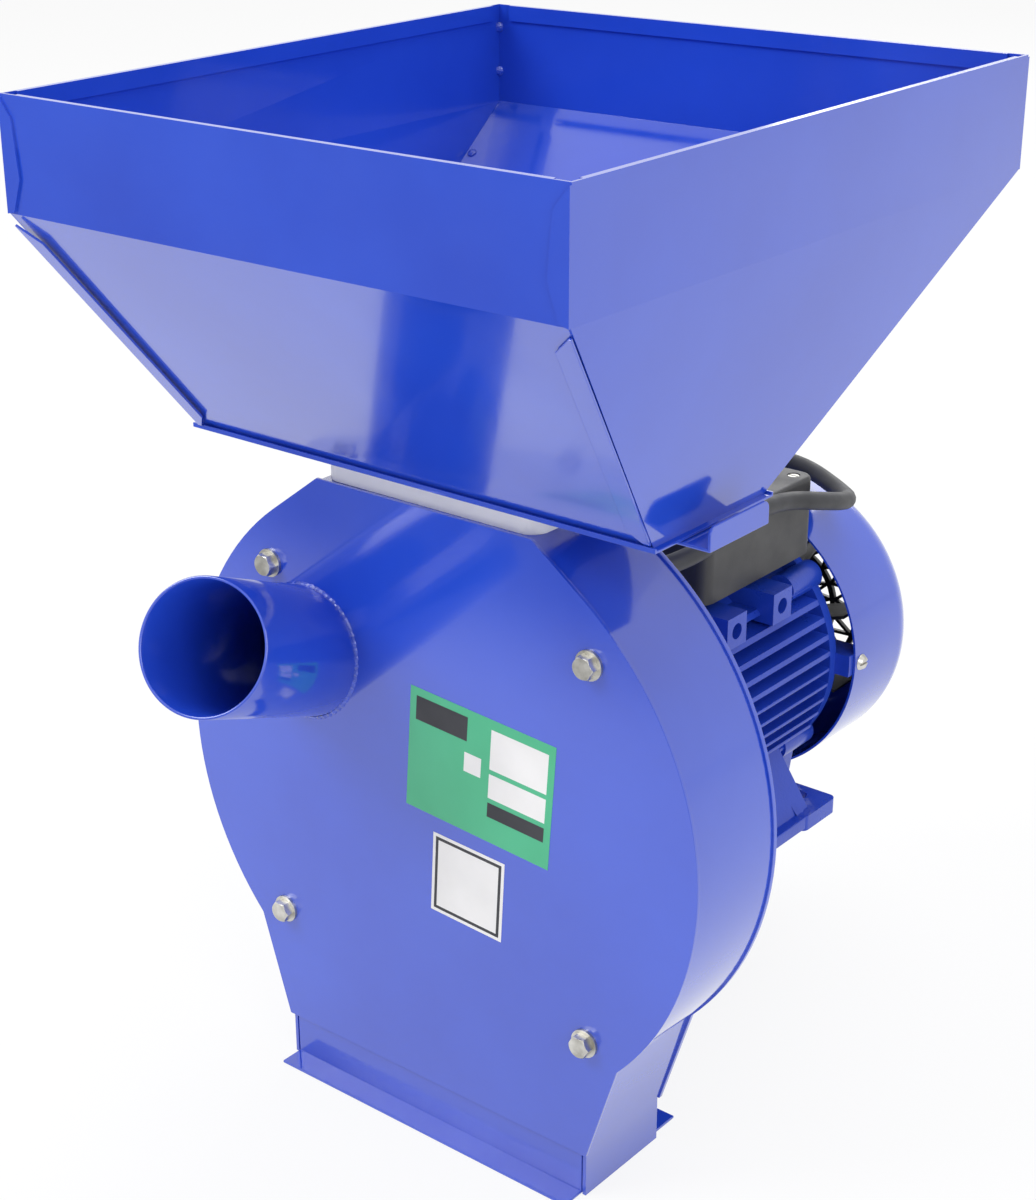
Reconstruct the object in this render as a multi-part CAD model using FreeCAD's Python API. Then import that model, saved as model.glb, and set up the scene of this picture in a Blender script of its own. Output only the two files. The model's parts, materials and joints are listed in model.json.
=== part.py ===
import FreeCAD, Part
import math
import os

# Electric hammer mill for grain: sheet hopper, slide gate, plastic collar, drum with
# a bolted cover and a slanted feed pipe, swinging hammers over a screen, and a finned
# foot mounted motor with a switch box on top.
# Millimetres, +Z up, X to the right seen from the cover, +Y from the cover to the fan.
# The origin is the middle of the four foot slots, on the underside of the feet.

V = FreeCAD.Vector

# Motor feet
shaft_height = 80.0
foot_span_x = 125.0
foot_span_y = 100.0
foot_slot_width = 10.0
foot_slot_length = 16.0
foot_outer_x = 83.0
foot_thickness = 8.5
foot_long_end = 21.0
foot_short_end = 11.0

# Drum
drum_radius = 155.0
drum_depth = 63.0
plate = 2.5
cover_plate = 2.0
shell_sheet = 2.0
cover_overhang = 1.0
flat_top_below_crown = 9.0
flat_top_height = drum_radius - flat_top_below_crown
flat_top_half = 63.5
kink_above_bottom = 50.0
kink_drop = drum_radius - kink_above_bottom
leg_side_inset = 58.0
leg_bottom_half = drum_radius - leg_side_inset
leg_below_circle = 5.0
leg_bottom_drop = drum_radius + leg_below_circle
chute_height = 24.0
chute_bottom_drop = leg_bottom_drop + chute_height
chute_wall = 1.5
chute_wall_rise = 12.0
chute_front_flange = 13.0
chute_back_flange = 19.0
chute_return = 11.0
chute_slit = 0.6

# Cover bolts and the posts they screw into
bolt_circle_inset = 19.2
cover_bolt_offset = (drum_radius - bolt_circle_inset) / math.sqrt(2)
post_radius = 8.0
bolt_radius = 3.0
bolt_flange_radius = 7.1
bolt_flange_height = 1.4
bolt_head_width = 10.0
bolt_head_height = 6.0
bolt_reach = 18.0
thread_clearance = 0.05

# Feed pipe
pipe_radius = 31.75
pipe_wall = 1.5
pipe_from_bolt = 21.0
pipe_below_bolt = 41.0
pipe_base_x = pipe_from_bolt - cover_bolt_offset
pipe_base_rise = cover_bolt_offset - pipe_below_bolt
pipe_reach = 95.0
pipe_turn = 17.9
pipe_tilt = 23.4

# Throat, collar and slide gate
throat_x = 96.0
throat_y = 38.0
throat_behind_cover = drum_depth / 2
collar_x = 126.0
collar_y = drum_depth - 9.0
collar_height = 13.2
collar_corner = 9.0
gate_width = 44.0
gate_sheet = 1.6
gate_overlap = 8.0
gate_tab_x = 149.0
gate_tab_height = 11.0
gate_clearance = 0.3

# Hopper
hopper_sheet = 1.2
hopper_top_x = 308.0
hopper_top_y = 340.0
hopper_top_rise = 327.0
hopper_crease_rise = 275.0
hopper_bottom_x = 264.0
hopper_bottom_y = 82.0
hopper_top_behind = 78.0
hopper_bottom_behind = 34.8
hem_height = 8.0
hem_gap = 0.5
flap_width = 10.0
base_lip = 5.0
base_margin = 3.0

# Screen and the ledges that carry its ends
screen_room = 32.0
screen_radius = drum_radius - screen_room
screen_sheet = 1.5
screen_half_angle = 70.0
screen_end_gap = 2.0
screen_hole = 7.0
screen_rows = 5
screen_columns = 26
ledge_sheet = 3.0

# Hammer rotor
hammer_room = 47.0
pin_circle = screen_radius - hammer_room
pin_radius = 5.0
pin_head_radius = 8.0
pin_end = 3.2
disc_edge = 12.0
disc_radius = pin_circle + disc_edge
disc_sheet = 3.5
disc_front_behind = 18.0
disc_back_room = 12.5
disc_back_behind = drum_depth - disc_back_room
hub_radius = 28.0
hub_front_behind = 15.0
hub_back_behind = disc_back_behind + 5.5
hammer_reach = 42.0
hammer_width = 24.0
hammer_sheet = 4.0
hammer_fit = 0.1
hammers_per_pin = 3
side_gap = 0.3
relief_circle = (hub_radius + pin_circle) / 2
relief_radius = 11.0

# Motor housing
shield_length = 41.0
frame_length = 144.0
frame_front_behind = drum_depth + shield_length
frame_back_behind = frame_front_behind + frame_length
feet_behind_cover = frame_front_behind + frame_length / 2 + 5.0
frame_bore = 57.0
frame_wall = 5.0
frame_core = frame_bore + frame_wall
fin_height = 11.0
fin_radius = frame_core + fin_height
fin_sheet = 2.6
fin_pitch = 9.0
spigot_length = 7.0
shield_radius = frame_core + 9.0
shield_neck_radius = frame_core - 2.0
shield_wall = 4.0
flange_radius = shield_radius - 1.0
flange_sheet = 9.0
mount_screw_circle = 50.0
mount_screw_radius = 3.0
lug_circle = frame_core + 6.0
lug_angle = 42.0
lug_radius = 8.0
lug_length = 8.0
lug_screw_radius = 2.5
side_boss_rise = 48.0
side_boss_reach = frame_core + 4.0
side_boss_size = 17.0
side_boss_behind = (feet_behind_cover - 18.0, feet_behind_cover + 24.0)

# Stator and rotor core
stator_front_behind = frame_front_behind + 28.0
stator_back_behind = frame_back_behind - 26.0
stator_inner = 35.0
rotor_gap = 0.5
winding_length = 16.0

# Bearings
front_bearing_width = 14.0
front_bearing_radius = 23.5
front_bearing_behind = frame_front_behind - front_bearing_width - 5.0
rear_bearing_width = 12.0
rear_bearing_radius = 20.0
rear_bearing_behind = frame_back_behind - 2.0
running_fit = 0.05
seal_radius = 16.0

# Fan and cowl
cowl_radius = shield_radius + 10.0
cowl_sheet = 1.2
cowl_length = 65.0
cowl_dome = 20.0
cowl_front_behind = frame_back_behind + 9.0
cowl_back_behind = cowl_front_behind + cowl_length
cowl_straight_end = cowl_back_behind - cowl_dome
cowl_flat_radius = cowl_radius - 17.0
cowl_mouth_radius = cowl_flat_radius - 10.0
cowl_screw_behind = cowl_front_behind + 6.0
fan_radius = cowl_radius - 13.0
fan_width = 27.5
fan_disc_behind = cowl_front_behind + 13.5
fan_blade_end = fan_disc_behind + fan_width
fan_blades = 9
grille_radius = cowl_flat_radius - 3.0
grille_sheet = 2.6
grille_cells = 16

# Shaft
shaft_radius = 9.5
shaft_step_radius = 11.0
shaft_rear_radius = 8.5
nut_thread_radius = 6.0
shaft_tip_behind = 5.0
shaft_tail_behind = fan_blade_end + 6.0
key_width = 6.0

# Switch box
box_half_x = 54.0
box_front_behind = frame_front_behind + 48.0
box_back_behind = frame_back_behind + 3.7
box_seat_rise = frame_core - 1.0
box_depth = 34.0
lid_height = 9.0
box_split_rise = box_seat_rise + box_depth
box_top_rise = box_split_rise + lid_height
box_wall = 2.5
box_corner = 7.0
gasket_sheet = 0.8
capacitor_radius = 14.0
lid_screw_inset_x = 8.0
lid_screw_inset_y = 9.0
box_length = box_back_behind - box_front_behind
rocker_behind = box_front_behind + 0.37 * box_length
rocker_rise = box_seat_rise + 18.0
rocker_length = 21.0
rocker_height = 15.0
button_behind = box_front_behind + 0.74 * box_length
button_radius = 5.0

# Supply cord
cord_diameter = 9.5
cord_layers_pitch = 10.2
coil_radius = 50.0
coil_turns = 3.5
coil_pitch = 10.3
coil_centre = (-141.0, 4.0)
gland_length = 20.0
gland_x = -30.0
gland_rise = box_seat_rise + 25.0
plug_radius = 19.0
plug_length = 46.0
plug_relief = 24.0
plug_pin_radius = 2.4
plug_pin_length = 19.0
plug_pin_spacing = 19.0

axis_z = shaft_height
cover_y = -feet_behind_cover
floor_z = axis_z - chute_bottom_drop
shell_front = cover_y + cover_plate
plate_front = cover_y + drum_depth - plate
plate_back = cover_y + drum_depth
throat_mid_y = cover_y + throat_behind_cover
drum_top_z = axis_z + flat_top_height
shell_top_z = drum_top_z - cover_overhang
collar_top_z = drum_top_z + collar_height
base_top_z = collar_top_z + hopper_sheet

parts = {}


def behind(distance):
    """Y of a place so far behind the cover's front face."""
    return cover_y + distance


def block(x0, x1, y0, y1, z0, z1):
    return Part.makeBox(x1 - x0, y1 - y0, z1 - z0, V(x0, y0, z0))


def rod_y(radius, y0, y1, x=0.0, z=None):
    base_z = axis_z if z is None else z
    return Part.makeCylinder(radius, y1 - y0, V(x, y0, base_z), V(0, 1, 0))


def rod_x(radius, x0, x1, y, z):
    return Part.makeCylinder(radius, x1 - x0, V(x0, y, z), V(1, 0, 0))


def rod_z(radius, z0, z1, x, y):
    return Part.makeCylinder(radius, z1 - z0, V(x, y, z0))


def ring_y(outer, inner, y0, y1, x=0.0, z=None):
    return rod_y(outer, y0, y1, x, z).cut(rod_y(inner, y0 - 1, y1 + 1, x, z))


def prism_y(points, y0, y1):
    """Closed outline of (x, z) points drawn out along Y."""
    corners = [V(x, y0, z) for x, z in points]
    face = Part.Face(Part.makePolygon(corners + corners[:1]))
    return face.extrude(V(0, y1 - y0, 0))


def prism_along(corners, push):
    """Closed outline of 3-D points drawn out along the vector push."""
    face = Part.Face(Part.makePolygon(corners + corners[:1]))
    return face.extrude(push)


def turned(points):
    """Profile of (radius, distance behind the cover) turned about the shaft axis."""
    corners = [V(r, behind(d), axis_z) for r, d in points]
    face = Part.Face(Part.makePolygon(corners + corners[:1]))
    return face.revolve(V(0, 0, axis_z), V(0, 1, 0), 360)


def fuse(shapes):
    joined = shapes[0]
    if len(shapes) > 1:
        joined = shapes[0].fuse(shapes[1:])
    return joined.removeSplitter()


def cut(shape, tools):
    return shape.cut(tools)


def mirror_x(shape):
    return shape.mirror(V(0, 0, 0), V(1, 0, 0))


def around(shape, count, start=0.0):
    """Copies of a shape turned about the shaft axis."""
    copies = []
    for k in range(count):
        copy = shape.copy()
        copy.rotate(V(0, 0, axis_z), V(0, 1, 0), start + 360.0 * k / count)
        copies.append(copy)
    return copies


def hex_rod(width, y0, y1, x, z):
    radius = width / math.sqrt(3)
    corners = []
    for k in range(6):
        angle = math.radians(60 * k)
        corners.append((x + radius * math.cos(angle), z + radius * math.sin(angle)))
    return prism_y(corners, y0, y1)


def keep(name, shape):
    """File a sub-part under its node name."""
    solids = shape.Solids
    assert solids, name
    parts[name] = solids[0] if len(solids) == 1 else Part.makeCompound(solids)


def group(name, shapes):
    solids = []
    for shape in shapes:
        solids.extend(shape.Solids)
    parts[name] = Part.makeCompound(solids)


# Drum outline: flat top, tangents down to the circle, legs that close in to the chute

def drum_outline(inset, y):
    radius = drum_radius - inset
    top = flat_top_height - inset
    half = flat_top_half - 0.6 * inset
    reach = math.hypot(half, top)
    tangent_angle = math.atan2(top, half) - math.acos(radius / reach)
    kink_z = -kink_drop
    kink_x = math.sqrt(radius ** 2 - kink_z ** 2)
    kink_angle = math.atan2(kink_z, kink_x)
    mid_angle = (tangent_angle + kink_angle) / 2
    foot_x = leg_bottom_half - inset

    def at(x, z):
        return V(x, y, axis_z + z)

    def on_circle(angle, side):
        return at(side * radius * math.cos(angle), radius * math.sin(angle))

    foot_z = -leg_bottom_drop
    edges = [Part.LineSegment(at(-half, top), at(half, top)).toShape()]
    edges.append(Part.LineSegment(at(half, top), on_circle(tangent_angle, 1)).toShape())
    right = Part.Arc(on_circle(tangent_angle, 1), on_circle(mid_angle, 1), on_circle(kink_angle, 1))
    edges.append(right.toShape())
    edges.append(Part.LineSegment(on_circle(kink_angle, 1), at(foot_x, foot_z)).toShape())
    edges.append(Part.LineSegment(at(foot_x, foot_z), at(-foot_x, foot_z)).toShape())
    edges.append(Part.LineSegment(at(-foot_x, foot_z), on_circle(kink_angle, -1)).toShape())
    left = Part.Arc(on_circle(kink_angle, -1), on_circle(mid_angle, -1), on_circle(tangent_angle, -1))
    edges.append(left.toShape())
    edges.append(Part.LineSegment(on_circle(tangent_angle, -1), at(-half, top)).toShape())
    return Part.Face(Part.Wire(edges))


def drum_plate(inset, y0, y1):
    return drum_outline(inset, y0).extrude(V(0, y1 - y0, 0))


def throat_cut(z0, z1, grow=0.0):
    half_x = throat_x / 2 + grow
    half_y = throat_y / 2 + grow
    return block(-half_x, half_x, throat_mid_y - half_y, throat_mid_y + half_y, z0, z1)


chute_x = leg_bottom_half - cover_overhang
chute_inner_x = chute_x - shell_sheet
bolt_places = [(sx * cover_bolt_offset, axis_z + sz * cover_bolt_offset)
               for sx in (-1, 1) for sz in (1, -1)]


def drum_shell():
    outer = drum_plate(cover_overhang, shell_front, plate_front)
    inner = drum_plate(cover_overhang + shell_sheet, shell_front - 1, plate_front + 1)
    leg_z = axis_z - leg_bottom_drop
    mouth = block(-chute_inner_x, chute_inner_x, shell_front - 1, plate_front + 1,
                  leg_z - 1, leg_z + 4 * shell_sheet)
    wrap = outer.cut([inner, mouth, throat_cut(drum_top_z - 8, drum_top_z + 8)])
    pieces = [wrap]
    for side in (-1, 1):
        edges = sorted((side * chute_inner_x, side * chute_x))
        pieces.append(block(edges[0], edges[1], shell_front, plate_front, floor_z, leg_z + 1))
    keep("drum_shell", fuse(pieces))


def drum_back_plate():
    sheet = drum_plate(0.0, plate_front, plate_back)
    holes = [rod_y(seal_radius, plate_front - 1, plate_back + 1)]
    holes += mount_screw_holes(mount_screw_radius + 0.4, plate_front - 1, plate_back + 1)
    keep("drum_back_plate", sheet.cut(holes))


def mount_screw_holes(radius, y0, y1):
    hole = rod_y(radius, y0, y1, mount_screw_circle)
    return around(hole, 4, 45)


def cover_posts():
    posts = []
    for x, z in bolt_places:
        post = rod_y(post_radius, shell_front, plate_front, x, z)
        bore = rod_y(bolt_radius + thread_clearance, shell_front - 1, behind(bolt_reach + 4), x, z)
        posts.append(post.cut(bore))
    group("cover_posts", posts)


# Feed pipe, slanted up and towards the middle of the cover

pipe_axis = V(math.sin(math.radians(pipe_turn)) * math.cos(math.radians(pipe_tilt)),
              -math.cos(math.radians(pipe_turn)) * math.cos(math.radians(pipe_tilt)),
              math.sin(math.radians(pipe_tilt)))
pipe_base = V(pipe_base_x, cover_y, axis_z + pipe_base_rise)
pipe_length = pipe_reach / -pipe_axis.y


def pipe_rod(radius, before, after):
    start = pipe_base - pipe_axis * before
    return Part.makeCylinder(radius, before + pipe_length + after, start, pipe_axis)


def front_cover():
    sheet = drum_plate(0.0, cover_y, shell_front)
    holes = [pipe_rod(pipe_radius - pipe_wall, 60, 5)]
    for x, z in bolt_places:
        holes.append(rod_y(bolt_radius + 0.4, cover_y - 1, shell_front + 1, x, z))
    keep("front_cover", sheet.cut(holes))


def feed_pipe():
    tube = pipe_rod(pipe_radius, 60, 0).cut(pipe_rod(pipe_radius - pipe_wall, 70, 5))
    behind_cover = block(-300, 300, cover_y, cover_y + 200, axis_z - 300, axis_z + 300)
    keep("feed_pipe", tube.cut(behind_cover))


def hex_bolt(x, z, face_y, length):
    """Flanged hex bolt whose head stands out towards -Y from face_y."""
    washer = rod_y(bolt_flange_radius, face_y - bolt_flange_height, face_y, x, z)
    head = hex_rod(bolt_head_width, face_y - bolt_head_height, face_y - bolt_flange_height, x, z)
    dome = Part.makeCone(bolt_head_width * 0.5, bolt_head_width * 0.5 + bolt_head_height,
                         bolt_head_height, V(x, face_y - bolt_head_height, z), V(0, 1, 0))
    shank = rod_y(bolt_radius, face_y, face_y + length, x, z)
    return fuse([washer, head.common(dome), shank])


def cover_bolts():
    group("cover_bolts", [hex_bolt(x, z, cover_y, bolt_reach) for x, z in bolt_places])


# Chute walls below the cover and the back plate

def chute_walls():
    half = chute_inner_x - chute_slit
    top_z = axis_z - leg_bottom_drop + chute_wall_rise
    inset = half - chute_wall
    for name, face_y, out in (("chute_front_wall", shell_front, -1), ("chute_back_wall", plate_front, 1)):
        inner_y = face_y - out * chute_wall
        wall_y = sorted((face_y, inner_y))
        flange = chute_front_flange if out < 0 else chute_back_flange
        flange_y = sorted((inner_y, face_y + out * flange))
        return_y = sorted((face_y, face_y - out * chute_return))
        pieces = [block(-half, half, wall_y[0], wall_y[1], floor_z, top_z)]
        pieces.append(block(-half, half, flange_y[0], flange_y[1], floor_z, floor_z + chute_wall))
        pieces.append(block(-half, -inset, return_y[0], return_y[1], floor_z, top_z))
        pieces.append(block(inset, half, return_y[0], return_y[1], floor_z, top_z))
        wall = fuse(pieces)
        legs = drum_plate(cover_overhang + shell_sheet + chute_slit, shell_front - 40, plate_back + 40)
        below = block(-half, half, shell_front - 40, plate_back + 40, floor_z, axis_z - leg_bottom_drop)
        keep(name, wall.common(legs.fuse(below)))


# Hopper panels: band with a hem, funnel below a crease, flaps on the side panels

class Ring:
    """Corners of the hopper's outside at one height."""

    def __init__(self, size_x, size_y, mid_y, z):
        self.x = size_x / 2
        self.front = mid_y - size_y / 2
        self.back = mid_y + size_y / 2
        self.z = z


hopper_top = Ring(hopper_top_x, hopper_top_y, behind(hopper_top_behind), axis_z + hopper_top_rise)
hopper_crease = Ring(hopper_top_x, hopper_top_y, behind(hopper_top_behind), axis_z + hopper_crease_rise)
hopper_bottom = Ring(hopper_bottom_x, hopper_bottom_y, behind(hopper_bottom_behind), base_top_z)


def sheet_from(corners, inward):
    """Sheet of the hopper's gauge, laid on the inner side of its outer corners."""
    normal = (corners[1] - corners[0]).cross(corners[2] - corners[1])
    normal.normalize()
    if normal.dot(inward) < 0:
        normal = normal * -1
    return prism_along(corners, normal * hopper_sheet)


def end_panel(side):
    """Front (side -1) or back (side 1) panel, between the side panels."""
    t = hopper_sheet
    top, crease, bottom = hopper_top, hopper_crease, hopper_bottom
    y = top.front if side < 0 else top.back
    foot_y = bottom.front if side < 0 else bottom.back
    half, foot_half = top.x - t, bottom.x - t
    inward = V(0, -side, 0)
    band = sheet_from([V(-half, y, top.z), V(half, y, top.z), V(half, y, crease.z),
                       V(-half, y, crease.z)], inward)
    funnel = sheet_from([V(-half, y, crease.z), V(half, y, crease.z),
                         V(foot_half, foot_y, bottom.z), V(-foot_half, foot_y, bottom.z)], inward)
    fold_y = y - side * (2 * t + hem_gap)
    hem_half = half - hem_height
    wall_y = sorted((fold_y, fold_y + side * t))
    hem = block(-hem_half, hem_half, wall_y[0], wall_y[1], top.z - hem_height, top.z)
    fold = sorted((y, fold_y))
    bridge = block(-hem_half, hem_half, fold[0], fold[1], top.z - t, top.z)
    return fuse([band, funnel, hem, bridge])


def flap(side_x, side_y):
    """Strips of a side panel bent over the front or back panel."""
    t = hopper_sheet
    top, crease, bottom = hopper_top, hopper_crease, hopper_bottom
    y = top.front if side_y < 0 else top.back
    foot_y = bottom.front if side_y < 0 else bottom.back
    outward = V(0, side_y * t, 0)
    w = flap_width
    band_points = [(0.0, top.z - 1), (0.75 * w, top.z - w), (w, crease.z + 1.6 * w),
                   (0.45 * w, crease.z + 1), (0.0, crease.z)]
    band = prism_along([V(side_x * (top.x - d), y, z) for d, z in band_points], outward)

    def slope(fraction, across):
        x = crease.x + (bottom.x - crease.x) * fraction - across
        yy = y + (foot_y - y) * fraction
        z = crease.z + (bottom.z - crease.z) * fraction
        return V(side_x * x, yy, z)

    corners = [slope(0, 0), slope(0, 0.45 * w), slope(0.08, w), slope(0.985, 0.9 * w), slope(1, 0)]
    normal = (corners[1] - corners[0]).cross(corners[-1] - corners[0])
    normal.normalize()
    if normal.y * side_y < 0:
        normal = normal * -1
    funnel = prism_along(corners, normal * t)
    return [band, funnel]


def side_panel(side, ends):
    t = hopper_sheet
    top, crease, bottom = hopper_top, hopper_crease, hopper_bottom
    x = side * top.x
    foot_x = side * bottom.x
    inward = V(-side, 0, 0)
    band = sheet_from([V(x, top.front, top.z), V(x, top.back, top.z),
                       V(x, crease.back, crease.z), V(x, crease.front, crease.z)], inward)
    funnel = sheet_from([V(x, crease.front, crease.z), V(x, crease.back, crease.z),
                         V(foot_x, bottom.back, bottom.z), V(foot_x, bottom.front, bottom.z)], inward)
    fold_x = x - side * (2 * t + hem_gap)
    wall_x = sorted((fold_x, fold_x + side * t))
    hem_front, hem_back = top.front + hem_height, top.back - hem_height
    hem = block(wall_x[0], wall_x[1], hem_front, hem_back, top.z - hem_height, top.z)
    fold = sorted((x, fold_x))
    bridge = block(fold[0], fold[1], hem_front, hem_back, top.z - t, top.z)
    body = fuse([band, funnel, hem, bridge]).cut(ends)
    return fuse([body] + flap(side, -1) + flap(side, 1))


def hopper():
    front = end_panel(-1)
    back = end_panel(1)
    above_base = block(-400, 400, -600, 600, hopper_bottom.z, hopper_top.z)
    keep("hopper_front_panel", front.common(above_base))
    keep("hopper_back_panel", back.common(above_base))
    for name, side in (("hopper_left_panel", -1), ("hopper_right_panel", 1)):
        panel = side_panel(side, [front, back]).common(above_base)
        solids = sorted(panel.Solids, key=lambda solid: -solid.Volume)
        keep(name, solids[0])


def hopper_base():
    t = hopper_sheet
    ring = hopper_bottom
    half = ring.x + base_margin
    front, back = ring.front - base_margin, ring.back + base_margin
    z0 = ring.z - t
    tray = block(-half, half, front, back, z0, ring.z)
    lips = [block(-half, half, front, front + t, z0, ring.z + base_lip),
            block(-half, half, back - t, back, z0, ring.z + base_lip)]
    holes = [throat_cut(z0 - 1, ring.z + 1)]
    for x, y in hopper_screw_places():
        holes.append(rod_z(bolt_radius + 0.3, z0 - 1, ring.z + 1, x, y))
    funnels = [parts[name] for name in ("hopper_front_panel", "hopper_back_panel",
                                        "hopper_left_panel", "hopper_right_panel")]
    keep("hopper_base", fuse([tray] + lips).cut(holes + funnels))


def hopper_screw_places():
    x = throat_x / 2 + 7.5
    y = throat_y / 2 - 5
    return [(-x, throat_mid_y - y), (-x, throat_mid_y + y)]


# White collar between drum and hopper, with the channel that the gate slides in

def gate_channel(z0, z1):
    half = gate_width / 2 + gate_clearance
    x0 = -throat_x / 2 - gate_overlap + 4 - gate_clearance
    return block(x0, collar_x / 2 + 5, throat_mid_y - half, throat_mid_y + half, z0, z1)


def inlet_collar():
    half_x, half_y = collar_x / 2, collar_y / 2
    top_z = collar_top_z
    body = block(-half_x, half_x, throat_mid_y - half_y, throat_mid_y + half_y, shell_top_z, top_z)
    uprights = [edge for edge in body.Edges if edge.BoundBox.ZLength > 1]
    body = body.makeFillet(collar_corner, uprights)
    channel = gate_channel(top_z - gate_sheet - 2 * gate_clearance, top_z + 1)
    holes = [throat_cut(shell_top_z - 1, top_z + 1), channel]
    for x, y in hopper_screw_places():
        holes.append(rod_z(bolt_radius + thread_clearance, drum_top_z + 1, top_z + 1, x, y))
    keep("inlet_collar", body.cut(holes))


def slide_gate():
    top_z = collar_top_z - gate_clearance
    z0 = top_z - gate_sheet
    half = gate_width / 2
    x0 = -throat_x / 2 - gate_overlap + 4
    blade = block(x0, gate_tab_x, throat_mid_y - half, throat_mid_y + half, z0, top_z)
    tab = block(gate_tab_x - gate_sheet, gate_tab_x, throat_mid_y - half, throat_mid_y + half,
                z0, z0 + gate_tab_height)
    corners = [edge for edge in tab.Edges
               if edge.BoundBox.YLength < 0.01 and edge.BoundBox.ZLength < 0.01
               and edge.BoundBox.ZMax > tab.BoundBox.ZMax - 0.01]
    tab = tab.makeFillet(4.0, corners)
    keep("slide_gate", fuse([blade, tab]))


def hopper_screws():
    screws = []
    for x, y in hopper_screw_places():
        head = Part.makeCone(bolt_radius * 2, bolt_radius * 1.2, 2.6, V(x, y, base_top_z))
        shank = rod_z(bolt_radius, drum_top_z + 2.5, base_top_z, x, y)
        screws.append(fuse([head, shank]))
    group("hopper_screws", screws)


# Perforated screen under the rotor and the ledges at its ends

def arc_sheet(inner, outer, half_angle, y0, y1):
    """Part of a tube, centred below the shaft."""
    ring = ring_y(outer, inner, y0, y1)
    reach = outer * 3
    angle = math.radians(half_angle)
    wedge = prism_y([(0, axis_z), (-reach * math.sin(angle), axis_z - reach * math.cos(angle)),
                     (-reach, axis_z - reach), (reach, axis_z - reach),
                     (reach * math.sin(angle), axis_z - reach * math.cos(angle))], y0 - 1, y1 + 1)
    return ring.common(wedge)


def screen():
    y0, y1 = shell_front + screen_end_gap / 4, plate_front - screen_end_gap / 4
    sheet = arc_sheet(screen_radius, screen_radius + screen_sheet, screen_half_angle, y0, y1)
    pitch_y = (y1 - y0) / (screen_rows + 0.5)
    span = 2 * screen_half_angle - 10
    holes = []
    radius = screen_hole / 2
    outline = [(radius * math.cos(math.radians(60 * k)), radius * math.sin(math.radians(60 * k)))
               for k in range(6)]
    for row in range(screen_rows):
        y = y0 + pitch_y * (row + 0.75)
        for column in range(screen_columns):
            shift = 0.5 * (row % 2)
            angle = -span / 2 + span * (column + 0.25 + shift) / screen_columns
            corners = [V(a, y + b, axis_z - screen_radius - 4) for a, b in outline]
            hole = prism_along(corners, V(0, 0, 8))
            hole.rotate(V(0, 0, axis_z), V(0, 1, 0), angle)
            holes.append(hole)
    keep("screen", sheet.cut(holes))


def screen_ledges():
    inner = screen_radius + 0.3
    outer = drum_radius - cover_overhang - shell_sheet - 0.3
    y0, y1 = shell_front + 0.3, plate_front
    ledges = []
    for side in (-1, 1):
        strip = block(inner, outer, y0, y1, axis_z + 0.3, axis_z + 0.3 + ledge_sheet)
        lip = block(inner, inner + ledge_sheet, y0, y1, axis_z + 0.3, axis_z + 4 * ledge_sheet)
        ledge = fuse([strip, lip])
        tilt = 90 - screen_half_angle
        ledge.rotate(V(0, 0, axis_z), V(0, 1, 0), tilt)
        ledges.append(ledge if side > 0 else mirror_x(ledge))
    group("screen_ledges", ledges)


# Hammer rotor

pin_angles = (45, 135, 225, 315)
pin_names = {45: "top_right", 315: "bottom_right", 225: "bottom_left", 135: "top_left"}


def pin_place(angle):
    a = math.radians(angle)
    return pin_circle * math.cos(a), axis_z + pin_circle * math.sin(a)


def rotor_disc(name, start_behind):
    y0, y1 = behind(start_behind), behind(start_behind + disc_sheet)
    holes = [rod_y(hub_radius, y0 - 1, y1 + 1)]
    for angle in pin_angles:
        x, z = pin_place(angle)
        holes.append(rod_y(pin_radius, y0 - 1, y1 + 1, x, z))
    holes += around(rod_y(relief_radius, y0 - 1, y1 + 1, relief_circle), 4)
    keep(name, rod_y(disc_radius, y0, y1).cut(holes))


def rotor_hub():
    body = rod_y(hub_radius, behind(hub_front_behind), behind(hub_back_behind))
    bore = rod_y(shaft_radius, behind(hub_front_behind) - 1, behind(hub_back_behind) + 1)
    key = key_block()
    keep("rotor_hub", body.cut([bore, key]))


def key_block():
    half = key_width / 2
    return block(-half, half, behind(hub_front_behind + 6), behind(hub_back_behind - 6),
                 axis_z + shaft_radius - 3.5, axis_z + shaft_radius + 2.5)


def blade_starts():
    room = disc_back_behind - disc_front_behind - disc_sheet
    gap = (room - hammers_per_pin * hammer_sheet) / hammers_per_pin
    first = disc_front_behind + disc_sheet + gap / 2
    return [first + k * (hammer_sheet + gap) for k in range(hammers_per_pin)]


def hammer_pins():
    pins = []
    front = disc_front_behind - pin_end
    back = disc_back_behind + disc_sheet + pin_end
    for angle in pin_angles:
        x, z = pin_place(angle)
        shank = rod_y(pin_radius, behind(front), behind(back), x, z)
        head = rod_y(pin_head_radius, behind(front), behind(disc_front_behind), x, z)
        clip = rod_y(pin_head_radius - 0.5, behind(disc_back_behind + disc_sheet), behind(back - 0.8), x, z)
        pins.append(fuse([shank, head, clip]))
    group("hammer_pins", pins)


def hammer_spacers():
    starts = blade_starts()
    edges = [disc_front_behind + disc_sheet]
    for start in starts:
        edges += [start - side_gap, start + hammer_sheet + side_gap]
    edges.append(disc_back_behind)
    tubes = []
    for angle in pin_angles:
        x, z = pin_place(angle)
        for first, last in zip(edges[0::2], edges[1::2]):
            tubes.append(ring_y(pin_head_radius, pin_radius, behind(first), behind(last), x, z))
    group("hammer_spacers", tubes)


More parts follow.
